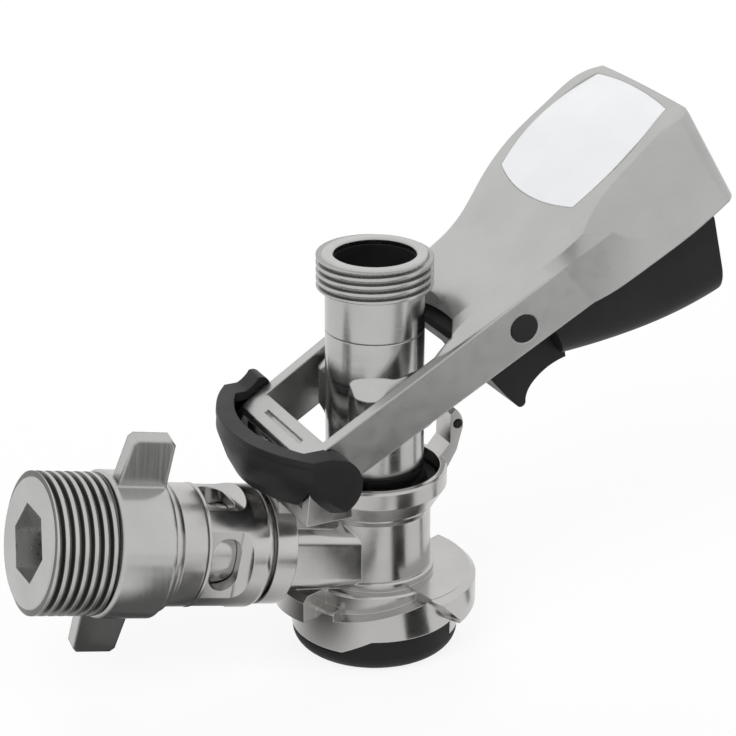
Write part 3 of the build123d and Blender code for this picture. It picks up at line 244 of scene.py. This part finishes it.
@dataclass(frozen=True)
class PlasticFinish:
    """A moulded plastic or rubber with a fine spark-eroded texture."""

    name: str
    light: Colour
    dark: Colour
    smooth: float
    rough: float
    texture: float = 1400.0
    relief: float = 0.00003
    coat: float = 0.0
    edge: float = 0.0004
    shine: float = 0.22
    cloud_scale: float = 90.0

    def material(self) -> bpy.types.Material:
        """Build the node material.

        Returns:
            The finished material.
        """
        sheet = NodeSheet(self.name)
        sheet.surface.inputs["Coat Weight"].default_value = self.coat
        sheet.surface.inputs["Specular IOR Level"].default_value = self.shine
        cloud = sheet.noise(self.cloud_scale, detail=4.0)
        sheet.tint(cloud, "Fac", self.dark, self.light)
        skin = sheet.noise(self.texture, detail=3.0)
        rough = sheet.spread(cloud, "Fac", self.smooth, self.rough)
        sheet.join(rough, "Result", sheet.surface, "Roughness")
        sheet.relief(skin, "Fac", self.relief, self.edge)
        return sheet.material


class Finishes:
    """The finishes of the coupler, made once and shared by its pieces."""

    def __init__(self) -> None:
        """Build every material."""
        self.polished = MetalFinish("polished_plating", (0.54, 0.53, 0.52), (0.48, 0.47, 0.46), 0.17, 0.25,
                                    relief=0.000001, edge=0.0003, grain_scale=260.0,
                                    octaves=2.0).material()
        self.turned = MetalFinish("turned_plating", (0.53, 0.53, 0.52), (0.46, 0.46, 0.45), 0.15, 0.24,
                                  Grain.TURNED_Z, 0.000002).material()
        self.arm_turned = MetalFinish("arm_turned_plating", (0.52, 0.52, 0.51), (0.45, 0.45, 0.44), 0.18,
                                      0.28, Grain.TURNED_ARM, 0.000002).material()
        self.wing = MetalFinish("wing_nut_plating", (0.52, 0.52, 0.51), (0.46, 0.46, 0.45), 0.16, 0.24,
                                Grain.TURNED_ARM, 0.000001, 0.0009, 500.0, 3.0).material()
        # painted shade: the next two are darker copies of the plated metal, for the roots and flanks of
        # threads
        self.thread_groove_shade = MetalFinish("thread_grooves_painted_shade", (0.19, 0.19, 0.185), (0.13, 0.13, 0.125), 0.30, 0.42,
                                   relief=0.000001).material()
        self.outlet_groove_shade = MetalFinish("outlet_grooves_painted_shade", (0.40, 0.40, 0.39), (0.32, 0.32, 0.31), 0.22, 0.34,
                                   relief=0.000001).material()
        # painted light: a lighter copy of the plated metal for the walls of the key socket
        self.socket = MetalFinish("socket_walls_painted_light", (0.74, 0.74, 0.73), (0.68, 0.68, 0.67), 0.25, 0.35,
                                  relief=0.000001).material()
        self.satin = MetalFinish("satin_cast_lever", (0.52, 0.52, 0.51), (0.47, 0.47, 0.46), 0.27, 0.33,
                                 relief=0.000001, edge=0.0006, grain_scale=300.0, octaves=2.0).material()
        self.steel = MetalFinish("bare_steel", (0.52, 0.52, 0.52), (0.42, 0.42, 0.42), 0.22,
                                 0.34).material()
        self.black = PlasticFinish("black_moulding", (0.014, 0.014, 0.015), (0.009, 0.009, 0.009), 0.36,
                                   0.5).material()
        self.grip = PlasticFinish("black_grip", (0.015, 0.015, 0.015), (0.009, 0.009, 0.009), 0.45, 0.6,
                                  relief=0.00005).material()
        self.rubber = PlasticFinish("black_rubber", (0.013, 0.013, 0.013), (0.008, 0.008, 0.008), 0.5,
                                    0.7).material()
        self.label = PlasticFinish("white_label", (0.83, 0.84, 0.85), (0.79, 0.80, 0.82), 0.16, 0.22, 600.0,
                                   0.000002, 0.3, shine=0.5).material()
        self.liner = PlasticFinish("liner_plastic", (0.018, 0.018, 0.019), (0.011, 0.011, 0.012), 0.3,
                                   0.42).material()


def axis_frame(origin: Vector, direction: Vector, up: Vector) -> Matrix:
    """Matrix that puts +Z along a direction.

    Args:
        origin: Where the local origin goes.
        direction: Where local +Z points.
        up: Direction that local +X should lean to.

    Returns:
        The 4 by 4 matrix.
    """
    z = direction.normalized()
    x = (up - z * up.dot(z)).normalized()
    y = z.cross(x)
    rotation = Matrix((x, y, z)).transposed()
    return Matrix.Translation(origin) @ rotation.to_4x4()


def lathe(bm: bmesh.types.BMesh, profile: Profile, steps: int) -> None:
    """Turn a closed outline about the local Z axis.

    Args:
        bm: Mesh to add to.
        profile: Radius and height of each corner of the outline.
        steps: Number of steps round.
    """
    corners = [bm.verts.new((radius, 0.0, height)) for radius, height in profile]
    edges = [bm.edges.new((a, b)) for a, b in zip(corners, corners[1:] + corners[:1])]
    bmesh.ops.spin(bm, geom=corners + edges, cent=(0, 0, 0), axis=(0, 0, 1), dvec=(0, 0, 0),
                   angle=math.tau, steps=steps, use_merge=True, use_duplicate=False)


def paint_groove_shade(bm: bmesh.types.BMesh, radius: float) -> None:
    """Paint shade on the cylinder between a thread's ridges by giving it the darker finish.

    Args:
        bm: Mesh to mark, before the ridge is added.
        radius: Radius of the thread's root.
    """
    for face in bm.faces:
        if all(abs(vert.co.xy.length - radius) < NEAR for vert in face.verts):
            face.material_index = GROOVE_SHADE


def screw_ridge(bm: bmesh.types.BMesh, root: float, crest: float, pitch: float, low: float,
                high: float) -> None:
    """Add the ridge of a screw thread about the local Z axis, cut off flat at both ends.

    Args:
        bm: Mesh to add to.
        root: Radius a little under the thread's root.
        crest: Radius of the thread's crest.
        pitch: Rise of one turn.
        low: Height where the thread starts.
        high: Height where it ends.
    """
    ridge = bmesh.new()
    # it starts early and ends late, so that both cuts go through full turns
    turns = int((high - low) / pitch) + 3
    start = low - 1.5 * pitch
    shape = ((root, -RIDGE_FOOT * pitch), (crest, -RIDGE_TOP * pitch), (crest, RIDGE_TOP * pitch),
             (root, RIDGE_FOOT * pitch))
    corners = [ridge.verts.new((radius, 0.0, start + height)) for radius, height in shape]
    face = ridge.faces.new(corners)
    bmesh.ops.spin(ridge, geom=[face] + list(face.edges) + corners, cent=(0, 0, 0), axis=(0, 0, 1),
                   dvec=(0, 0, pitch / THREAD_STEPS), angle=math.tau * turns, steps=THREAD_STEPS * turns,
                   use_merge=False, use_duplicate=False)
    # painted shade: every face of the ridge except its crest gets the darker groove finish
    for face in ridge.faces:
        on_crest = all(abs(vert.co.xy.length - crest) < CREST_PLAY for vert in face.verts)
        face.material_index = 0 if on_crest else GROOVE_SHADE
    for height, side in ((low, -1), (high, 1)):
        geometry = ridge.verts[:] + ridge.edges[:] + ridge.faces[:]
        cut = bmesh.ops.bisect_plane(ridge, geom=geometry, plane_co=(0, 0, height), plane_no=(0, 0, side),
                                     clear_outer=True, dist=MERGE)
        rim = [item for item in cut["geom_cut"] if isinstance(item, bmesh.types.BMEdge)]
        bmesh.ops.holes_fill(ridge, edges=[edge for edge in rim if edge.is_boundary], sides=0)
    bmesh.ops.recalc_face_normals(ridge, faces=ridge.faces[:])
    mesh = bpy.data.meshes.new("ridge")
    ridge.to_mesh(mesh)
    ridge.free()
    bm.from_mesh(mesh)
    bpy.data.meshes.remove(mesh)


def finish_piece(bm: bmesh.types.BMesh, name: str, place: Matrix, *materials: bpy.types.Material,
                 smooth_angle: float = 32.0) -> bpy.types.Object:
    """Turn a mesh under construction into an object of the scene.

    Args:
        bm: The mesh, in its local frame.
        name: Name of the piece.
        place: Matrix to its place in the object.
        *materials: Its finishes, in the order of the faces' numbers.
        smooth_angle: Edges sharper than this stay sharp, in degrees.

    Returns:
        The new object, at the origin with its place in its mesh.
    """
    bmesh.ops.remove_doubles(bm, verts=bm.verts[:], dist=MERGE)
    bmesh.ops.recalc_face_normals(bm, faces=bm.faces[:])
    bmesh.ops.transform(bm, matrix=place, verts=bm.verts[:])
    for face in bm.faces:
        face.smooth = True
    limit = math.radians(smooth_angle)
    for edge in bm.edges:
        edge.smooth = len(edge.link_faces) == 2 and edge.calc_face_angle(0.0) < limit
    mesh = bpy.data.meshes.new(name)
    bm.to_mesh(mesh)
    bm.free()
    for material in materials:
        mesh.materials.append(material)
    piece = bpy.data.objects.new(name, mesh)
    bpy.context.collection.objects.link(piece)
    return piece


@dataclass
class OutletNipple:
    """The beer outlet: a short tube with a threaded collar on its top."""

    finishes: Finishes
    tube: float = 11.25 * MM
    inner: float = 10.25 * MM
    bore: float = 9.3 * MM
    top: float = 96.0 * MM
    length: float = 18.0 * MM
    collar: float = 7.7 * MM
    crest: float = 13.22 * MM
    root: float = 12.15 * MM
    pitch: float = 1.814 * MM
    foot_bevel: float = 0.25 * MM
    under_cut: float = 0.1 * MM
    under_bevel: float = 0.3 * MM
    nose_length: float = 0.9 * MM
    nose_cut: float = 0.2 * MM
    rim_bevel: float = 0.25 * MM
    rim_cut: float = 0.5 * MM
    mouth_bevel: float = 0.35 * MM
    seat_depth: float = 1.4 * MM
    ridge_start: float = 0.12 * MM
    ridge_end: float = 0.35 * MM

    def build(self) -> bpy.types.Object:
        """Model the nipple with its screw thread.

        Returns:
            The finished piece, riding on the probe.
        """
        foot = self.top - self.length
        shoulder = self.top - self.collar
        bm = bmesh.new()
        profile = [(self.inner, foot), (self.tube - self.foot_bevel, foot),
                   (self.tube, foot + self.foot_bevel), (self.tube, shoulder),
                   (self.root - self.under_cut, shoulder), (self.root, shoulder + self.under_bevel),
                   (self.root, self.top - self.nose_length),
                   (self.root - self.nose_cut, self.top - self.rim_bevel),
                   (self.root - self.rim_cut, self.top), (self.bore + self.mouth_bevel, self.top),
                   (self.bore, self.top - self.mouth_bevel), (self.bore, self.top - self.seat_depth),
                   (self.inner, self.top - self.seat_depth)]
        lathe(bm, profile, TUBE_STEPS)
        # painted shade in the thread's root
        paint_groove_shade(bm, self.root)
        screw_ridge(bm, self.root - RIDGE_SINK, self.crest, self.pitch, shoulder + self.ridge_start,
                    self.top - self.ridge_end)
        piece = finish_piece(bm, "outlet_nipple_threaded", Matrix.Identity(4), self.finishes.turned,
                             self.finishes.outlet_groove_shade)
        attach(piece, "probe")
        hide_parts("outlet_nipple")
        return piece


@dataclass
class InletStub:
    """The threaded gas stub with a hexagon socket in its end."""

    finishes: Finishes
    tilt: float = ARM_TILT
    root_height: float = 23.3 * MM
    start: float = 62.3 * MM
    neck: float = 14.1 * MM
    nut_end: float = 70.65 * MM
    end: float = 86.1 * MM
    crest: float = 15.9 * MM
    root: float = 14.75 * MM
    pitch: float = 2.25 * MM
    bore: float = 5.0 * MM
    flats: float = 15.6 * MM
    socket: float = 9.0 * MM
    side_cuts: int = 15
    rim_cut: float = 0.35 * MM
    rim_bevel: float = 0.6 * MM
    ridge_start: float = 0.15 * MM
    ridge_end: float = 0.35 * MM

    def place(self) -> Matrix:
        """Matrix that puts local +Z along the arm, away from the probe."""
        turn = math.radians(self.tilt)
        along = Vector((-math.cos(turn), 0, math.sin(turn)))
        return axis_frame(Vector((0, 0, self.root_height)), along, Vector((0, -1, 0)))

    def build(self) -> bpy.types.Object:
        """Model the stub: turned outside, hexagon socket, passage and screw thread.

        Returns:
            The finished piece, riding on the swivel.
        """
        bm = bmesh.new()
        # outside, from the rim of the socket's face back to the passage
        line = [(self.root - self.rim_cut, self.end), (self.root, self.end - self.rim_bevel),
                (self.root, self.nut_end), (self.neck, self.nut_end), (self.neck, self.start),
                (self.bore, self.start),
                (self.bore, self.end - self.socket)]
        corners = [bm.verts.new((radius, 0.0, height)) for radius, height in line]
        edges = [bm.edges.new(pair) for pair in zip(corners, corners[1:])]
        bmesh.ops.spin(bm, geom=corners + edges, cent=(0, 0, 0), axis=(0, 0, 1), dvec=(0, 0, 0),
                       angle=math.tau, steps=THREAD_STEPS, use_merge=True, use_duplicate=False)
        # hexagon socket: its mouth, walls and floor
        across = self.flats / math.sqrt(3.0)
        made = bmesh.ops.create_circle(bm, segments=6, radius=across,
                                       matrix=Matrix.Translation((0, 0, self.end))
                                       @ Matrix.Rotation(math.radians(30.0), 4, "Z"))
        mouth = list({edge for vert in made["verts"] for edge in vert.link_edges})
        bmesh.ops.subdivide_edges(bm, edges=mouth, cuts=self.side_cuts)
        mouth = [edge for edge in bm.edges if edge.is_wire]
        pushed = bmesh.ops.extrude_edge_only(bm, edges=mouth)
        floor_verts = [item for item in pushed["geom"] if isinstance(item, bmesh.types.BMVert)]
        bmesh.ops.translate(bm, verts=floor_verts, vec=(0, 0, -self.socket))
        face_rim = [edge for edge in bm.edges if edge.is_boundary
                    and all(abs(vert.co.z - self.end) < NEAR for vert in edge.verts)]
        bmesh.ops.bridge_loops(bm, edges=face_rim)
        bore_rim = [edge for edge in bm.edges if edge.is_boundary
                    and all(abs(vert.co.z - self.end + self.socket) < NEAR for vert in edge.verts)]
        bmesh.ops.bridge_loops(bm, edges=bore_rim)
        # painted shade in the thread's root
        paint_groove_shade(bm, self.root)
        # painted light: the socket's walls and floor get the lighter finish
        for face in bm.faces:
            if (face.calc_center_median().z > self.end - self.socket - NEAR
                    and all(vert.co.xy.length < across + NEAR for vert in face.verts)):
                face.material_index = SOCKET_LIGHT
        screw_ridge(bm, self.root - RIDGE_SINK, self.crest, self.pitch, self.nut_end + self.ridge_start,
                    self.end - self.ridge_end)
        piece = finish_piece(bm, "inlet_stub_threaded", self.place(), self.finishes.arm_turned,
                             self.finishes.thread_groove_shade, self.finishes.socket)
        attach(piece, "swivel")
        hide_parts("inlet_stub")
        return piece


@dataclass
class GuardShell:
    """The plastic guard round the hinge, with its front wall drawn in to a flatter bow.

    Each wall is an arc about a point on the X axis. The moulded wall is the CAD
    node's own, the bow is the one it gets, and the inner wall stays as it is.
    """

    finishes: Finishes
    moulded_x: float = -5.2 * MM
    moulded_radius: float = 33.1 * MM
    bow_x: float = 0.9 * MM
    bow_radius: float = 37.0 * MM
    inner_x: float = 3.3 * MM
    inner_radius: float = 35.0 * MM

    @staticmethod
    def wall(centre: float, radius: float, across: float) -> float:
        """X of a bowed wall at a distance across the guard."""
        return centre - math.sqrt(max(radius ** 2 - across ** 2, 0.0))

    def draw_in(self, point: Vector) -> float:
        """Work out where a point of the front wall goes.

        Args:
            point: A point of the moulded guard.

        Returns:
            Its new X. What lies behind the inner face stays.
        """
        back = self.wall(self.inner_x, self.inner_radius, point.y)
        front = self.wall(self.moulded_x, self.moulded_radius, point.y)
        if point.x >= back:
            return point.x
        share = (back - point.x) / (back - front)
        return back - share * (back - self.wall(self.bow_x, self.bow_radius, point.y))

    def build(self) -> bpy.types.Object:
        """Shape the guard from its merged copy.

        Returns:
            The finished piece, riding on the body.
        """
        bm = bmesh.new()
        bm.from_mesh(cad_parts["hinge_guard"].data)
        bmesh.ops.remove_doubles(bm, verts=bm.verts[:], dist=NEAR)
        for vert in bm.verts:
            vert.co.x = self.draw_in(vert.co)
        piece = finish_piece(bm, "hinge_guard_bowed", Matrix.Identity(4), self.finishes.black)
        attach(piece, "body")
        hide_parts("hinge_guard")
        return piece


@dataclass
class CadDress:
    """Gives each CAD node its finish, also where a modelled piece takes its place."""

    finishes: Finishes
    shown: Dict[str, str] = field(default_factory=lambda: {
        "coupler_body": "polished", "hinge_pin": "steel", "catch_pin": "black", "bottom_seal": "rubber",
        "probe_wiper": "rubber", "hinge_guard": "black", "vent_cage": "polished", "gas_spigot": "polished",
        "lever_handle": "satin", "label_plate": "label", "hinge_bushes": "black", "trigger_pin": "steel",
        "trigger_pin_caps": "black", "under_grip": "grip", "trigger": "black", "outlet_nipple": "turned",
        "probe_body": "turned", "drive_pins": "steel", "probe_ring": "rubber", "outlet_liner": "liner",
        "ball_retainer": "black", "probe_stem": "steel", "probe_tip": "rubber", "check_ball": "black",
        "wing_nut": "wing", "inlet_stub": "arm_turned", "inlet_washer": "rubber"})

    def dress(self) -> None:
        """Put the finish on each node's material slots."""
        for name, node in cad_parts.items():
            finish = getattr(self.finishes, self.shown.get(name, "polished"))
            if not node.material_slots:
                node.data.materials.append(finish)
            for place in node.material_slots:
                place.material = finish
            LOG.info("node %s: %s", name, finish.name)


SHADOW_INSIDE = 0.4       # a card's painted shadow fades out between these shares of its radius
SHADOW_OUTSIDE = 1.6
WEDGE_HEIGHT = 0.0004   # how high the wedges lie over the floor


@dataclass(frozen=True)
class LampPlan:
    """Plan of a soft rectangular lamp that points at the object."""

    name: str
    place: Point
    size: Tuple[float, float]
    power: float


@dataclass(frozen=True)
class CardPlan:
    """Plan of a lying card that only bright metal sees, as a thing for it to mirror.

    Its size is length and width, its heading the plan angle of its length in
    degrees, its shadow radius the radius of a darker middle painted as the shadow
    that the object casts on the floor, its taper the width of its near end as a
    share of its far end, and its shadow glow the painted shadow's glow as a share of its glow.
    """

    name: str
    place: Point
    size: Tuple[float, float]
    glow: float
    heading: float = 0.0
    core: float = 0.0
    taper: float = 1.0
    shadow_glow: float = 0.1

    @classmethod
    def wedge(cls, name: str, heading: float, near: float, far: float, width: float,
              glow: float) -> "CardPlan":
        """Plan a card that widens away from the probe's axis.

        Args:
            name: Name of the card.
            heading: Plan angle that it points along, in degrees.
            near: Distance of its near end from the axis.
            far: Distance of its far end.
            width: Width of its far end.
            glow: How pale it is in a mirror.

        Returns:
            The plan of the card.
        """
        turn = math.radians(heading)
        reach = (near + far) / 2
        place = (reach * math.cos(turn), reach * math.sin(turn), WEDGE_HEIGHT)
        return cls(name, place, (far - near, width), glow, heading, taper=near / far)


LAMPS = (
    LampPlan("key", (-0.55, -0.45, 0.75), (0.5, 0.7), 5.0),
    LampPlan("fill", (0.75, -0.55, 0.40), (0.4, 0.7), 2.5),
    LampPlan("rim", (0.25, 0.75, 0.65), (0.7, 0.4), 4.0),
)
CARDS = (
    # painted shadow: this card's darker middle stands in for the coupler's shadow on the floor under it
    CardPlan("low_card", (-0.056, -0.004, 0.0002), (3.0, 3.0), 0.9, core=0.029),
    CardPlan.wedge("dark_front", -70.0, 0.03, 0.15, 0.074, 0.02),
    CardPlan.wedge("dark_side", -12.0, 0.04, 0.66, 0.10, 0.25),
    CardPlan("nut_shade", (-0.0455, -0.0355, 0.0005), (0.07, 0.018), 0.15, -69.0),
    CardPlan("nut_side_shade", (-0.0195, -0.109, 0.0005), (0.09, 0.014), 0.32, -69.0),
    CardPlan("lever_shade", (0.105, -0.187, 0.0006), (0.16, 0.07), 0.38, -37.0),
)


@dataclass
class Studio:
    """Floor, soft lamps, cards for the metal to mirror, and the camera."""

    distance: float = 0.650
    focal: float = 139.06
    aim: Vector = field(default_factory=lambda: Vector((0, 0, 0.050)))
    back: Vector = field(default_factory=lambda: Vector((-0.40379, -0.82950, 0.38585)))
    right: Vector = field(default_factory=lambda: Vector((0.89913, -0.43769, 0.0)))
    slide_right: float = 1.5327 * MM
    slide_up: float = -16.654 * MM
    floor_half: float = 4.0
    floor_glow: float = 0.86
    floor_drop: float = 0.0002
    room_light: float = 0.45

    def floor(self) -> None:
        """Lay a wide pale floor under the seal."""
        bm = bmesh.new()
        bmesh.ops.create_grid(bm, x_segments=1, y_segments=1, size=self.floor_half)
        mesh = bpy.data.meshes.new("floor")
        bm.to_mesh(mesh)
        bm.free()
        sheet = NodeSheet("floor_paper")
        sheet.surface.inputs["Base Color"].default_value = (0.9, 0.9, 0.9, 1)
        sheet.surface.inputs["Roughness"].default_value = 0.9
        path = sheet.add("ShaderNodeLightPath")
        glow = sheet.add("ShaderNodeEmission")
        glow.inputs["Color"].default_value = (1, 1, 1, 1)
        share = sheet.add("ShaderNodeMath", operation="MULTIPLY")
        share.inputs[1].default_value = self.floor_glow
        sheet.join(path, "Is Camera Ray", share, 0)
        mix = sheet.add("ShaderNodeMixShader")
        sheet.join(share, "Value", mix, "Fac")
        sheet.join(sheet.surface, "BSDF", mix, 1)
        sheet.join(glow, "Emission", mix, 2)
        sheet.join(mix, "Shader", sheet.output, "Surface")
        mesh.materials.append(sheet.material)
        floor = bpy.data.objects.new("floor", mesh)
        floor.location = (0, 0, -self.floor_drop)
        bpy.context.collection.objects.link(floor)

    def world(self) -> None:
        """Light the room softly and show white behind the object."""
        world = bpy.data.worlds.new("room")
        bpy.context.scene.world = world
        world.use_nodes = True
        tree = world.node_tree
        tree.nodes.clear()
        output = tree.nodes.new("ShaderNodeOutputWorld")
        room = tree.nodes.new("ShaderNodeBackground")
        room.inputs["Color"].default_value = (1, 1, 1, 1)
        room.inputs["Strength"].default_value = self.room_light
        white = tree.nodes.new("ShaderNodeBackground")
        white.inputs["Color"].default_value = (1, 1, 1, 1)
        white.inputs["Strength"].default_value = 1.0
        path = tree.nodes.new("ShaderNodeLightPath")
        seen = tree.nodes.new("ShaderNodeMath")
        seen.operation = "MAXIMUM"
        either = tree.nodes.new("ShaderNodeMath")
        either.operation = "MAXIMUM"
        mix = tree.nodes.new("ShaderNodeMixShader")
        tree.links.new(path.outputs["Is Camera Ray"], seen.inputs[0])
        tree.links.new(path.outputs["Is Glossy Ray"], seen.inputs[1])
        tree.links.new(seen.outputs[0], either.inputs[0])
        tree.links.new(path.outputs["Is Transmission Ray"], either.inputs[1])
        tree.links.new(either.outputs[0], mix.inputs[0])
        tree.links.new(room.outputs[0], mix.inputs[1])
        tree.links.new(white.outputs[0], mix.inputs[2])
        tree.links.new(mix.outputs[0], output.inputs[0])

    def hang(self, plan: LampPlan) -> None:
        """Hang a lamp, out of sight of the metal.

        Args:
            plan: Plan of the lamp.
        """
        data = bpy.data.lights.new(plan.name, "AREA")
        data.shape = "RECTANGLE"
        data.size, data.size_y = plan.size
        data.energy = plan.power
        lamp = bpy.data.objects.new(plan.name, data)
        lamp.location = plan.place
        lamp.rotation_euler = (self.aim - Vector(plan.place)).to_track_quat("-Z", "Y").to_euler()
        lamp.visible_glossy = False
        bpy.context.collection.objects.link(lamp)

    def cloth(self, plan: CardPlan) -> bpy.types.Material:
        """Make a card's glowing cloth.

        Args:
            plan: Plan of the card.

        Returns:
            Its material, darker in the middle as a painted shadow where the plan gives a shadow radius.
        """
        sheet = NodeSheet(plan.name + "_cloth")
        light = sheet.add("ShaderNodeEmission")
        light.inputs["Color"].default_value = (1, 1, 1, 1)
        light.inputs["Strength"].default_value = plan.glow
        sheet.join(light, "Emission", sheet.output, "Surface")
        # painted shadow: the glow drops towards the card's middle
        if plan.core:
            reach = sheet.add("ShaderNodeVectorMath", operation="LENGTH")
            sheet.join(sheet.place, "Object", reach, "Vector")
            fade = sheet.add("ShaderNodeMapRange", interpolation_type="SMOOTHSTEP")
            fade.inputs["From Min"].default_value = plan.core * SHADOW_INSIDE
            fade.inputs["From Max"].default_value = plan.core * SHADOW_OUTSIDE
            fade.inputs["To Min"].default_value = plan.shadow_glow * plan.glow
            fade.inputs["To Max"].default_value = plan.glow
            sheet.join(reach, "Value", fade, "Value")
            sheet.join(fade, "Result", light, "Strength")
        return sheet.material

    def lay(self, plan: CardPlan) -> None:
        """Lay a card on the floor.

        Args:
            plan: Plan of the card.
        """
        bm = bmesh.new()
        bmesh.ops.create_grid(bm, x_segments=1, y_segments=1, size=0.5)
        bmesh.ops.scale(bm, vec=(plan.size[0], plan.size[1], 1), verts=bm.verts[:])
        bmesh.ops.scale(bm, vec=(1, plan.taper, 1), verts=[vert for vert in bm.verts if vert.co.x < 0])
        mesh = bpy.data.meshes.new(plan.name)
        bm.to_mesh(mesh)
        bm.free()
        mesh.materials.append(self.cloth(plan))
        card = bpy.data.objects.new(plan.name, mesh)
        card.location = plan.place
        card.rotation_euler = (0, 0, math.radians(plan.heading))
        card.visible_camera = False
        card.visible_diffuse = False
        card.visible_shadow = False
        bpy.context.collection.objects.link(card)

    def camera(self) -> None:
        """Stand the camera at its viewing angle."""
        up = self.back.cross(self.right).normalized()
        data = bpy.data.cameras.new("camera")
        data.lens = self.focal
        data.sensor_width = 36.0
        data.clip_start = 0.01
        camera = bpy.data.objects.new("camera", data)
        place = self.aim + self.back * self.distance - self.right * self.slide_right - up * self.slide_up
        turn = Matrix((self.right, up, self.back)).transposed().to_4x4()
        camera.matrix_world = Matrix.Translation(place) @ turn
        bpy.context.collection.objects.link(camera)
        bpy.context.scene.camera = camera

    def build(self) -> None:
        """Set up floor, world, lamps, cards and camera."""
        self.floor()
        self.world()
        for lamp_plan in LAMPS:
            self.hang(lamp_plan)
        for card_plan in CARDS:
            self.lay(card_plan)
        self.camera()
        bpy.context.scene.view_settings.view_transform = "Standard"


def main() -> None:
    """Build the looks in order and report each piece."""
    logging.basicConfig(level=logging.INFO, format="%(name)s: %(message)s")
    finishes = Finishes()
    CadDress(finishes).dress()
    for maker in (OutletNipple(finishes), InletStub(finishes), GuardShell(finishes)):
        piece = maker.build()
        LOG.info("piece %s: %d faces", piece.name, len(piece.data.polygons))
    Studio().build()


if __name__ == "__main__":
    main()
